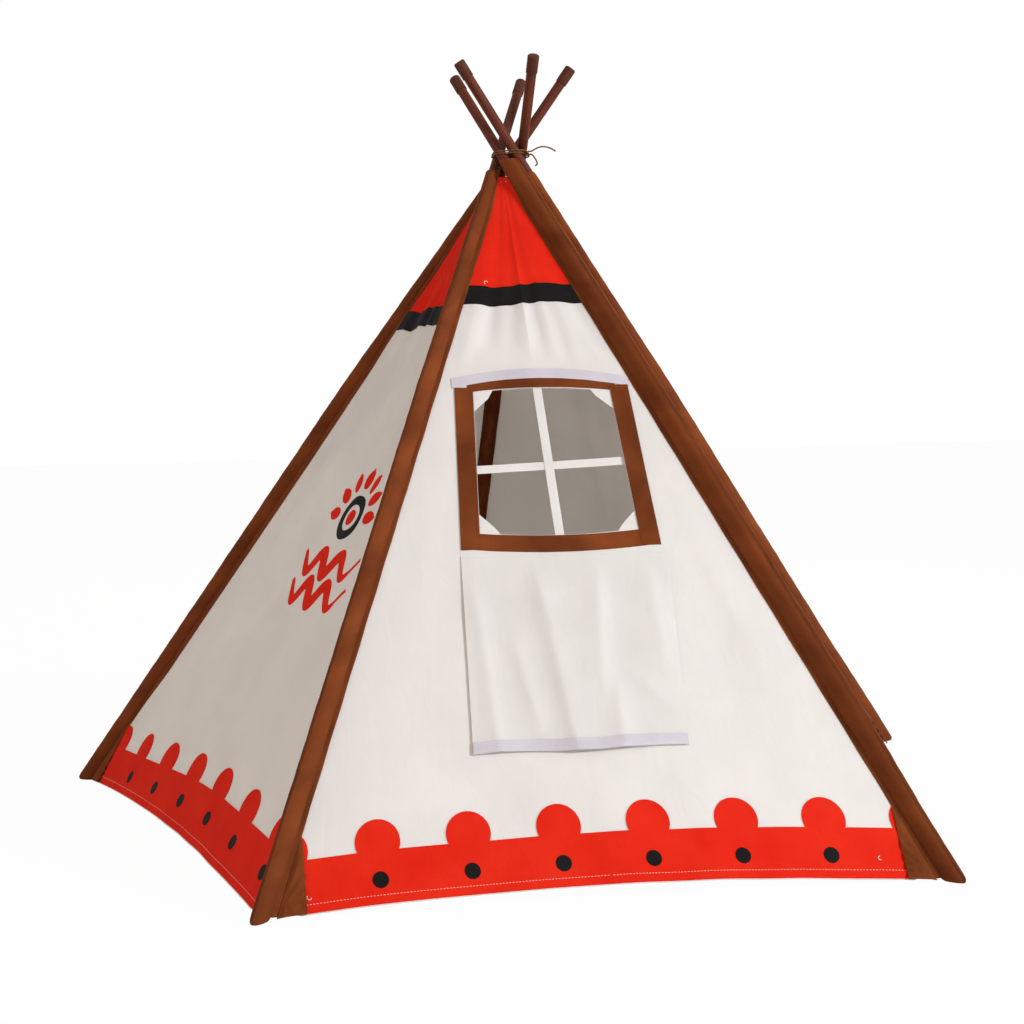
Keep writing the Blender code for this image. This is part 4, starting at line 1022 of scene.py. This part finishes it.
def add_gusset(wall, way, node):
    heights = np.linspace(0, GUSSET_HEIGHT, 22)[:, None]
    share = heights / GUSSET_HEIGHT
    outer = sleeve_edge(heights) - GUSSET_GAP
    foot_side = float(sleeve_edge(0)) - GUSSET_GAP - GUSSET_WIDTH
    tip = float(sleeve_edge(GUSSET_HEIGHT)) - GUSSET_GAP - 0.003
    inner = foot_side + (tip - foot_side) * share
    across = np.linspace(0, 1, 18)
    sides = outer + (inner - outer) * across
    turn = np.arctan2(heights, np.maximum(outer - sides, 0) + 0.004)
    pleat = 0.55 * (1 + np.sin(19 * turn)) * np.clip(across * 3, 0, 1)
    pleat = pleat + 0.8 * np.sin(math.pi * across)
    fold = (0.0042 * (1 - share) * np.clip(pleat, 0, None)).ravel()
    places, polygons = grid(way * sides, heights + hem(sides))
    item = sheet(f"{node}_cloth", wall, places, polygons, 0.0031 + fold, 0.0041 + fold,
                 brown_cotton)
    attach(item, wall, way, "brown_cloth", node)


for wall, way in GUSSET_PLACES:
    add_gusset(wall, way, f"{WALLS[wall]}_{SIDES[way]}_gusset")
print("gussets sewn:", len(GUSSET_PLACES))

# %% [markdown]
# ## Window
# Four brown strips frame the opening, and two cream tapes cross behind it as glazing
# bars. Above it a strip of hook and loop tape takes the flap's own strip.


# %% Window frame, bars and tape
def strip_sides(start, end, columns, way):
    """Sides from start to end on one half of the wall, or none."""
    low, high = sorted((way * start, way * end))
    low = max(low, 0)
    return None if high <= low + 1e-6 else way * np.linspace(low, high, columns)


def bow(side, depth):
    """Sag or rise of a strip that is bowed over the window's width."""
    return depth * (1 - ((side - 0.003) / 0.155) ** 2)


def edge_sides(edges, rise):
    return [edge(rise) if callable(edge) else edge for edge in edges]


def window_strip(part, node, edges, rises, lifts, cloth, columns=24, rows=5,
                 depths=(0, 0), tilt=0):
    """Strip between two sides and two rises; one that crosses the middle is two halves."""
    low_side, high_side = sorted(edge_sides(edges, BAR_RISE))
    crosses = low_side < 0 < high_side
    material, slot = cloth
    row_rises = np.linspace(*rises, rows)[:, None]
    shares = np.linspace(0, 1, rows)[:, None]
    for way in (-1, 1):
        made = [strip_sides(*edge_sides(edges, rise), columns, way) for rise in row_rises.ravel()]
        if any(row is None for row in made):
            continue
        sides = np.stack(made)
        bend = bow(sides, depths[0]) * (1 - shares) + bow(sides, depths[1]) * shares
        places, polygons = grid(sides, row_rises + (bend + tilt * sides))
        name = f"window_{part}_{SIDES[way]}" if crosses else f"window_{part}"
        item = sheet(name, FRONT, places, polygons, *lifts, material)
        attach(item, FRONT, way, slot, "window_" + node)


def left_in(rise):
    return -window_edge(rise, -1) - 0.001


def right_in(rise):
    return window_edge(rise, 1) + 0.001


def left_out(rise):
    return left_in(rise) - FRAME_WIDTH


def right_out(rise):
    return right_in(rise) + FRAME_WIDTH


def past_opening(margin):
    """Two edges a margin past the opening's sides."""
    return lambda rise: left_in(rise) - margin, lambda rise: right_in(rise) + margin


FRAME_LOW, FRAME_HIGH, FRAME_WIDTH = WINDOW_LOW - 0.033, WINDOW_HIGH + 0.014, 0.034
UPPER_LIFTS, LOWER_LIFTS, TAPE_LIFTS = (0.0024, 0.0034), (0.0017, 0.0027), (0.0017, 0.0031)
BROWN, CREAM = (brown_cotton, "brown_cloth"), (cream_canvas, "cream_canvas")
window_strip("left_strip", "frame_left", (left_out, left_in),
             (FRAME_LOW, FRAME_HIGH), UPPER_LIFTS, BROWN, 10, 30)
window_strip("right_strip", "frame_right", (right_in, right_out),
             (FRAME_LOW, FRAME_HIGH), UPPER_LIFTS, BROWN, 10, 30)
window_strip("top_strip", "frame_top", past_opening(0.010),
             (WINDOW_HIGH + 0.001, FRAME_HIGH), LOWER_LIFTS, BROWN, depths=(0.012, 0.018))
window_strip("bottom_strip", "frame_bottom", past_opening(0.010),
             (FRAME_LOW, WINDOW_LOW - 0.001), LOWER_LIFTS, BROWN, depths=(-0.008, -0.008))
window_strip("closing_tape", "closure_tape", (-0.1549, 0.1744),
             (FRAME_HIGH + 0.0005, FRAME_HIGH + 0.0215), TAPE_LIFTS, (hook_tape, "tape"),
             depths=(0.018, 0.018))
window_strip("upright_bar", "bar_upright", (-0.005, 0.011),
             (WINDOW_LOW - 0.016, WINDOW_HIGH + 0.020), (-0.0014, -0.0003), CREAM, 6, 30)
window_strip("level_bar", "bar_level", past_opening(0.008),
             (BAR_RISE - 0.008, BAR_RISE + 0.008), (-0.0029, -0.0017), CREAM, tilt=0.045)
print("pieces on the front wall:", len(attached[(FRONT, -1)]) + len(attached[(FRONT, 1)]))

# %% [markdown]
# ## Window flap
# The flap hangs from its sewn top edge. Gathers at the seam open into soft upright
# folds, deepest at the free edge, where a strip of tape stiffens the cloth.


# %% Flap
# each fold: place across at the seam and at the free edge, width of its steep and of its
# gentle side, height, and where down the flap it starts and ends
FLAP_FOLDS = (
    (0.34, 0.47, 0.055, 0.120, 0.0088, 0.00, 1.40),
    (0.645, 0.60, 0.110, 0.050, 0.0080, 0.00, 0.85),
    (0.88, 0.95, 0.120, 0.055, 0.0058, 0.00, 0.75),
    (0.03, 0.12, 0.050, 0.050, 0.0050, 0.08, 1.40),
    (0.13, 0.33, 0.045, 0.050, 0.0044, 0.35, 1.05),
    (0.22, 1.08, 0.045, 0.060, 0.0052, 0.55, 0.90),
    (0.69, 0.68, 0.070, 0.060, 0.0076, 0.60, 1.40),
)


def flap_wave(side, rise):
    down = np.clip((FLAP_TOP - rise) / FLAP_LENGTH, 0, 1)
    across = (side - FLAP_LEFT + FLAP_SKEW * down) / (FLAP_RIGHT - FLAP_LEFT)
    wave = 0.0008 * np.minimum(down / 0.12, 1) + 0.0012 * down
    for top, foot_place, steep, gentle, height, start, end in FLAP_FOLDS:
        fold = ridge(across - top - (foot_place - top) * down, steep, gentle)
        wave = wave + height * fold * smooth((down - start) / 0.24) * smooth((end - down) / 0.3)
    return wave


def flap_line(down, across):
    """Sides and rises of a line across the flap, a share of its length down."""
    width = FLAP_RIGHT - FLAP_LEFT
    sides = FLAP_LEFT + width * across - FLAP_SKEW * down * (1 + 0.35 * across)
    return sides, FLAP_TOP - FLAP_LENGTH * down + 0.0022 * np.sin(9 * across) * down ** 3


def flap_piece(name, node, end, rows, low, high, material):
    """Cloth from the flap's free edge up to a share of its length."""
    downs, across = np.linspace(1, end, rows)[:, None], np.linspace(0, 1, 72)
    item = sheet(name, FRONT, *grid(*flap_line(downs, across)), low, high, material, flap_wave)
    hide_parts(node)
    return fold_with(item, FRONT, -1, body="window_flap_body")


FLAP_LIFT, TAPE_WIDTH = PANEL + 0.0004, 0.020
FLAP_FACE = FLAP_LIFT + PANEL
TAPE_LIFT, TAPE_FACE = FLAP_FACE + 0.0003, FLAP_FACE + 0.0015
flap = flap_piece("flap_cloth", "window_flap", 0, 60,
                  FLAP_LIFT, FLAP_FACE, cream_canvas)
flap_tape = flap_piece("flap_tape", "window_flap_tape", 1 - TAPE_WIDTH / FLAP_LENGTH, 5,
                       TAPE_LIFT, TAPE_FACE, hook_tape)
print("flap is", round(FLAP_RIGHT - FLAP_LEFT, 3), "m wide")

# %% [markdown]
# ## Door curtains
# Two curtains meet in the middle of the doorway. Each is sewn to its pole's sleeve along
# one edge and hangs in soft folds, with the scalloped hem carried round from the walls.


# %% Curtains
def curtain_wave(side, rise):
    edge = sleeve_edge(rise) - 0.0015
    across = np.clip(1 - np.abs(side) / edge, 0, 1)
    height = np.sin(math.pi * np.clip((rise - 0.170) / 0.730, 0, 1))
    small = 0.0008 * np.sin(47 * across + 6 * rise) * smooth(across * 4) * height
    return 0.005 * height * np.sin(11 * across) * np.sqrt(across) + small


MEETING = 0.0001
curtains = {}
for way in (-1, 1):
    name, body = f"{SIDES[way]}_door_curtain", f"{SIDES[way]}_curtain_body"
    rises = np.linspace(0, DOOR_TOP - 0.001, 66)[:, None]
    edge = sleeve_edge(rises) + 0.0010
    sides = way * (MEETING + (edge - MEETING) * np.linspace(0, 1, 44))
    cloth = sheet(name + "_cloth", DOOR, *grid(sides, follow_hem(sides, rises)), 0, PANEL,
                  cream_canvas, curtain_wave)
    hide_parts(name)
    fold_with(cloth, DOOR, way, body=body)
    base = sheet(name + "_hem", DOOR, *base_places(DOOR, way, inner=MEETING, outer_gap=0.0020),
                 BAND_LIFT, BAND_TOP, red_cotton, curtain_wave)
    clean(base)
    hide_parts(name + "_base_band")
    fold_with(base, DOOR, way, body=body)
    curtains[way] = (cloth, base, body)
print("curtains:", [c[0].name for c in curtains.values()])

# %% [markdown]
# ## Dots and stitches
# Black spots are printed on the hem band, one under each scallop, and every seam shows
# a row of stitches. Both repeat, so one Geometry Nodes tree copies a small shape onto
# points laid out flat on the wall. The flat result is then mapped onto the hung cloth,
# so a spot or a stitch follows each wave. The front wall also has a few loose loops of
# pale thread.


# %% Tree that repeats a small shape
def repeat_tree(kind):
    tree = bpy.data.node_groups.new("repeat_" + kind, "GeometryNodeTree")
    tree.interface.new_socket("Geometry", in_out="INPUT", socket_type="NodeSocketGeometry")
    for label in ("Length", "Width", "Height"):
        tree.interface.new_socket(label, in_out="INPUT", socket_type="NodeSocketFloat")
    tree.interface.new_socket("Material", in_out="INPUT", socket_type="NodeSocketMaterial")
    tree.interface.new_socket("Geometry", in_out="OUTPUT", socket_type="NodeSocketGeometry")
    start = add(tree, "NodeGroupInput")
    if kind == "stitch":
        shape = add(tree, "GeometryNodeMeshUVSphere", {"Segments": 6, "Rings": 4, "Radius": 0.5})
    else:
        shape = add(tree, "GeometryNodeMeshCylinder", {"Vertices": 28, "Radius": 0.5, "Depth": 1.0})
    sizes = {i: start.outputs[label] for i, label in enumerate(("Length", "Width", "Height"))}
    scale = add(tree, "ShaderNodeCombineXYZ", sizes)
    turn = add(tree, "GeometryNodeInputNamedAttribute", {"Name": "turn"}, data_type="FLOAT")
    wobble = add(tree, "FunctionNodeRandomValue", {2: -0.06, 3: 0.06, "Seed": 7}, data_type="FLOAT")
    angle = add(tree, "ShaderNodeMath", {0: turn.outputs[0], 1: wobble.outputs[1]}, operation="ADD")
    spin = add(tree, "ShaderNodeCombineXYZ", {2: angle.outputs[0]})
    copies = add(tree, "GeometryNodeInstanceOnPoints", {
        "Points": start.outputs["Geometry"], "Instance": shape.outputs[0],
        "Rotation": spin.outputs[0], "Scale": scale.outputs[0],
    })
    real = add(tree, "GeometryNodeRealizeInstances", {"Geometry": copies.outputs[0]})
    painted = add(tree, "GeometryNodeSetMaterial", {
        "Geometry": real.outputs[0], "Material": start.outputs["Material"],
    })
    add(tree, "NodeGroupOutput", {0: painted.outputs[0]})
    return tree


trees = {kind: repeat_tree(kind) for kind in ("stitch", "dot")}


def repeated(kind, name, wall, spots, size, material, wave=None):
    """Copies of a shape at (side, rise, lift, turn) spots, mapped onto a wall."""
    spots = np.asarray(spots, float)
    data = bpy.data.meshes.new(name)
    data.from_pydata([tuple(p) for p in spots[:, :3]], [], [])
    data.attributes.new("turn", "FLOAT", "POINT").data.foreach_set("value", spots[:, 3])
    item = bpy.data.objects.new(name, data)
    bpy.context.scene.collection.objects.link(item)
    modifier = item.modifiers.new("repeat", "NODES")
    modifier.node_group = trees[kind]
    inputs = [s for s in trees[kind].interface.items_tree if s.in_out == "INPUT"][1:]
    for socket, value in zip(inputs, (*size, material)):
        modifier[socket.identifier] = value
    bpy.context.view_layer.update()
    depsgraph = bpy.context.evaluated_depsgraph_get()
    flat = bpy.data.meshes.new_from_object(item.evaluated_get(depsgraph))
    item.modifiers.remove(modifier)
    points = np.zeros(len(flat.vertices) * 3)
    flat.vertices.foreach_get("co", points)
    side, rise, lift = points.reshape(-1, 3).T
    base = relief(wall, side, rise) + (0 if wave is None else wave(side, rise))
    faces = [list(polygon.vertices) for polygon in flat.polygons]
    bpy.data.objects.remove(item)
    bpy.data.meshes.remove(data)
    bpy.data.meshes.remove(flat)
    hung = wall_points(wall, side, rise, base + lift)
    return new_object(name, hung, faces, np.stack((side, rise), 1), material)


print("trees:", [tree.name for tree in trees.values()])

# %% Spots on the hem
SPOT_DIAMETER, SPOT_RISE, INK = 0.026, 0.0385, 0.0003


def spots_of(wall, way):
    """Places of the spots of one half wall, each under the middle of a tab."""
    centres = [c for c in scallop_centres(wall, way) if way * c >= -1e-9 and abs(c) < 0.48]
    if way < 0:
        centres = [c for c in centres if c < -1e-9 and (wall != LEFT or c > -0.46)]
    return [(c, SPOT_RISE + float(hem(c) + deeper(wall, c)), BAND_TOP + INK / 2, 0)
            for c in centres]


for wall, way in HALVES:
    wave, body = (curtain_wave, curtains[way][2]) if wall == DOOR else (None, None)
    item = repeated("dot", f"{WALLS[wall]}_spots_{SIDES[way]}", wall, spots_of(wall, way),
                    (SPOT_DIAMETER, SPOT_DIAMETER, INK), black_cotton, wave)
    fold_with(item, wall, way, body=body)
    if wall == DOOR:
        curtains[way] += (item,)
    else:
        attached[(wall, way)].append(item)
print("spots:", sum(len(spots_of(wall, way)) for wall, way in HALVES))


# %% Stitches
def along(line, pitch, lift):
    """Stitch places at an even pitch along a line of (side, rise) points."""
    line = np.asarray(line, float)
    steps = np.linalg.norm(np.diff(line, axis=0), axis=1)
    travelled = np.concatenate(((0,), np.cumsum(steps)))
    count = max(1, int(travelled[-1] / pitch))
    where = (np.arange(count) + 0.5) * travelled[-1] / count
    x, y = (np.interp(where, travelled, line[:, i]) for i in range(2))
    ahead = np.stack([np.interp(where + 0.0005, travelled, line[:, i]) for i in range(2)], 1)
    back = np.stack([np.interp(where - 0.0005, travelled, line[:, i]) for i in range(2)], 1)
    turn = np.arctan2(*(ahead - back).T[::-1])
    return np.stack((x, y, np.full(count, lift), turn), 1)


def straight(way, rise_of, gap=0.004):
    """Line across one half of a wall, at a rise given as a function of the side."""
    ends = float(sleeve_edge(rise_of(0.5))) - gap
    return [(side, rise_of(side)) for side in way * np.linspace(0.002, ends, 40)]


def sew(name, wall, way, rows, thread, wave=None, body=None):
    item = repeated("stitch", name, wall, np.concatenate(rows), STITCH, thread, wave)
    fold_with(item, wall, way, body=body)
    return item


STITCH, STITCH_PITCH = (0.0034, 0.0008, 0.0005), 0.0052
for wall, way in HALVES:
    rows = [along(straight(way, lambda s: 0.015 + float(hem(s)), gap=0.003),
                  STITCH_PITCH, BAND_TOP)]
    if wall == DOOR:
        item = sew(f"door_hem_stitches_{SIDES[way]}", wall, way, rows, pale_thread,
                   curtain_wave, curtains[way][2])
        curtains[way] += (item,)
        rows = []
    rows.append(along(straight(way, lambda s: CROWN_TOP - 0.012), STITCH_PITCH, PANEL))
    item = sew(f"{WALLS[wall]}_stitches_{SIDES[way]}", wall, way, rows, pale_thread)
    attached[(wall, way)].append(item)
print("pale stitches on the last half wall:", sum(len(row) for row in rows))

# %% Stitches of the sleeves
for wall, way in HALVES:
    rises = np.linspace(0.012, SLEEVE_TOPS[corner_of(wall, way)] * RISE_SHARE - 0.006, 120)
    sides = way * (half_width(rises) - edge_reach(wall, way, rises) + 0.0035)
    row = along(np.stack((sides, rises), 1), 0.006, 0.0046)
    row[:, 2] -= 0.0009 * smooth((row[:, 1] - 1.34) / 0.05)
    sew(f"{WALLS[wall]}_{SIDES[way]}_sleeve_stitches", wall, way, [row], brown_thread)
print("stitches along the last flat edge:", len(row))

# %% Stitches round the window
FRAME_ENDS = {-1: (left_in, left_out, 0.153), 1: (right_in, right_out, 0.172)}


def level_row(limit, way, rise, depth, lift):
    """Stitches on one half of a bowed strip, at a rise above the bow."""
    sides = way * np.linspace(0.002, limit, 30)
    return along(np.stack((sides, rise + bow(sides, depth)), 1), STITCH_PITCH, lift)


for way, (inner, outer, tape_end) in FRAME_ENDS.items():
    heights = np.linspace(FRAME_LOW + 0.002, FRAME_HIGH - 0.002, 30)
    rows = [along([(inner(rise) + way * 0.003, rise) for rise in heights],
                  STITCH_PITCH, UPPER_LIFTS[1]),
            along([(outer(rise) - way * 0.003, rise) for rise in heights],
                  STITCH_PITCH, UPPER_LIFTS[1])]
    limit = abs(inner(FRAME_LOW)) - 0.006
    rows += [level_row(limit, way, rise, -0.008, LOWER_LIFTS[1])
             for rise in (FRAME_LOW + 0.003, WINDOW_LOW - 0.004)]
    item = sew(f"window_stitches_{SIDES[way]}", FRONT, way, rows, brown_thread)
    attached[(FRONT, way)].append(item)
    rows = [level_row(tape_end, way, FRAME_HIGH + up, 0.018, TAPE_LIFTS[1])
            for up in (0.0025, 0.0195)]
    item = sew(f"tape_stitches_{SIDES[way]}", FRONT, way, rows, pale_thread)
    attached[(FRONT, way)].append(item)
print("stitches on the right half of the tape:", sum(len(row) for row in rows))

# %% Thread tacks
# each tack: half of the wall, side, rise and width of the loop
TACKS = ((-1, -0.064, 1.1786, 0.0075), (1, 0.442, 0.041, 0.0065), (-1, -0.476, 0.030, 0.0075))
for i, (way, side, rise, width) in enumerate(TACKS):
    arc = np.linspace(0.4 + i, 4.2 + i, 24)
    sides, rises = side + width / 2 * np.cos(arc), rise + width / 2 * np.sin(arc)
    lifts = relief(FRONT, sides, rises) + BAND_TOP + 0.0008
    item, _ = twisted(f"front_thread_tack_{i}", wall_points(FRONT, sides, rises, lifts),
                      pale_thread, radius=0.0006, lobes=2)
    attach(item, FRONT, way, "cream_canvas")
print("thread tacks:", len(TACKS))

# %% Stitches of the flap
rows = []
for down, lift in ((0.012, FLAP_FACE), (0.99, TAPE_FACE), (0.952, TAPE_FACE)):
    line = np.stack(flap_line(down, np.linspace(0.004, 0.996, 60)), 1)
    rows.append(along(line, STITCH_PITCH, lift))
flap_stitches = sew("flap_stitches", FRONT, -1, rows, pale_thread,
                    flap_wave, "window_flap_body")
print("flap stitches:", sum(len(row) for row in rows))

# %% [markdown]
# ## Print on the left wall
# The left wall has a plain motif, a sun over two waves, printed flat on the cloth. Each
# stroke is a thin layer of ink that follows the canvas.


# %% Printed motif
PRINT_LIFTS = (PANEL + 0.00005, PANEL + 0.00025)


def ring_print(name, inner, outer, material, slot):
    angles = np.linspace(0, 2 * math.pi, 65)[:, None]
    radii = np.linspace(inner, outer, 4)
    places = grid(SUN[0] + radii * np.cos(angles), SUN[1] + radii * np.sin(angles))
    item = sheet(name, LEFT, *places, *PRINT_LIFTS, material)
    clean(item)
    attach(item, LEFT, 1, slot)


def stroke_print(name, guides, width):
    """Red stroke along guide points, which tapers at both ends."""
    line = np.array(smooth_route([(x, y, 0) for x, y in guides], 14))[:, :2]
    ahead = unit(np.gradient(line, axis=0))
    normal = np.stack((-ahead[:, 1], ahead[:, 0]), 1)
    share = np.linspace(0, 1, len(line))
    taper = width / 2 * (0.25 + 0.75 * np.sin(math.pi * np.clip(share * 1.1, 0, 1)) ** 0.6)
    rows = [line + normal * (taper * s)[:, None] for s in (-1, -0.33, 0.33, 1)]
    item = sheet(name, LEFT, np.stack(rows, 1).reshape(-1, 2), grid_polygons(len(line), 4),
                 *PRINT_LIFTS, red_cotton)
    attach(item, LEFT, 1, "red_cloth")


SUN = (0.142, 0.672)
ring_print("print_ring", 0.027, 0.046, black_cotton, "black_cloth")
ring_print("print_dot", 0.0005, 0.016, red_cotton, "red_cloth")
for i in range(7):
    angle = math.radians(3 + 29 * i)
    ray = [(SUN[0] + reach * math.cos(angle), SUN[1] + reach * math.sin(angle))
           for reach in (0.060, 0.082, 0.104)]
    stroke_print(f"print_ray_{i}", ray, 0.027)
for i, low in enumerate((0.575, 0.515)):
    guides = [(0.012 + 0.044 * k, low + 0.021 * (-1) ** k) for k in range(7)]
    stroke_print(f"print_wave_{i}", guides, 0.030)

# %% [markdown]
# ## Flat sizes of the cloths
# Each cloth's flat size, the size that it is cut to, is read back from its sheet.

# %% Flat sizes of the cloths
for item in sheets:
    wall_name, way_name = item.name.split("_canvas_")
    wall, way = WALLS.index(wall_name), -1 if way_name == "left" else 1
    width, length = item["flat_size"]
for way, (cloth, base, body, *pieces) in curtains.items():
    width, length = cloth["flat_size"]
print("declared cloths:", len(sheets) + 3)

# %% [markdown]
# ## Floor and light
# The light is soft, on white, with no shadow on the ground. A cool key lamp stands at
# the front right, weak warm lamps at the left and behind, and the world fills in. Rays
# from the camera, through the cloth or mirrored meet plain white behind the teepee, and
# all others a dimmer sky.


# %% Floor, background and lamps
def camera_share(tree):
    """1 for rays that the camera sees directly, through cloth or mirrored, else 0."""
    path = add(tree, "ShaderNodeLightPath").outputs
    seen = path["Is Camera Ray"]
    for kind in ("Is Transmission Ray", "Is Glossy Ray"):
        seen = add(tree, "ShaderNodeMath", {0: seen, 1: path[kind]}, operation="MAXIMUM").outputs[0]
    return seen


def add_floor():
    data = bpy.data.meshes.new("floor")
    reach = 30
    corners = [(x * reach, y * reach, 0) for x, y in ((-1, -1), (1, -1), (1, 1), (-1, 1))]
    data.from_pydata(corners, [], [(0, 1, 2, 3)])
    floor = bpy.data.objects.new("floor", data)
    bpy.context.scene.collection.objects.link(floor)
    material, tree, shader = new_material("pale_floor", 0.9)
    shader.inputs["Base Color"].default_value = linear("#E8E8E8")
    glow = add(tree, "ShaderNodeEmission", {"Color": (1, 1, 1, 1), "Strength": 1.0})
    share = add(tree, "ShaderNodeMath", {0: camera_share(tree), 1: 0.97}, operation="MULTIPLY")
    blend = add(tree, "ShaderNodeMixShader", {
        0: share.outputs[0], 1: shader.outputs[0], 2: glow.outputs[0],
    })
    tree.links.new(blend.outputs[0], tree.nodes["Material Output"].inputs["Surface"])
    data.materials.append(material)
    floor.location.z = -0.001
    return floor


def add_lamp(name, place, target, size, power, color):
    data = bpy.data.lights.new(name, "AREA")
    data.shape, data.size, data.energy = "DISK", size, power
    data.color = linear(color)[:3]
    lamp = bpy.data.objects.new(name, data)
    bpy.context.scene.collection.objects.link(lamp)
    lamp.location = place
    lamp.rotation_euler = (Vector(target) - Vector(place)).to_track_quat("-Z", "Y").to_euler()
    return lamp


world = bpy.data.worlds.new("studio")
bpy.context.scene.world = world
world.use_nodes = True
backdrop = world.node_tree.nodes["Background"]
white = add(world.node_tree, "ShaderNodeBackground", {"Color": (1, 1, 1, 1), "Strength": 1.0})
backdrop.inputs["Color"].default_value = linear("#F4F1EE")
backdrop.inputs["Strength"].default_value = 0.46
choice = add(world.node_tree, "ShaderNodeMixShader", {
    0: camera_share(world.node_tree), 1: backdrop.outputs[0], 2: white.outputs[0],
})
world_output = world.node_tree.nodes["World Output"]
world.node_tree.links.new(choice.outputs[0], world_output.inputs["Surface"])
lamps = [add_lamp("key", (4.4, -4.2, 2.8), (0, 0, 0.6), 1.0, 350, "#FDFDFF"),
         add_lamp("fill", (-4.0, -2.4, 2.0), (0, 0, 0.5), 2.5, 50, "#FFE0C6"),
         add_lamp("back", (0.8, 4.8, 2.6), (0, 0, 0.5), 2.5, 40, "#FFEBDA")]
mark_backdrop(add_floor(), *lamps)
bpy.context.scene.view_settings.view_transform = "Standard"
print("lamps:", [lamp.name for lamp in lamps])

# %% Dressed size
low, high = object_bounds()
print("dressed size:", [round(b - a, 4) for a, b in zip(low, high)])
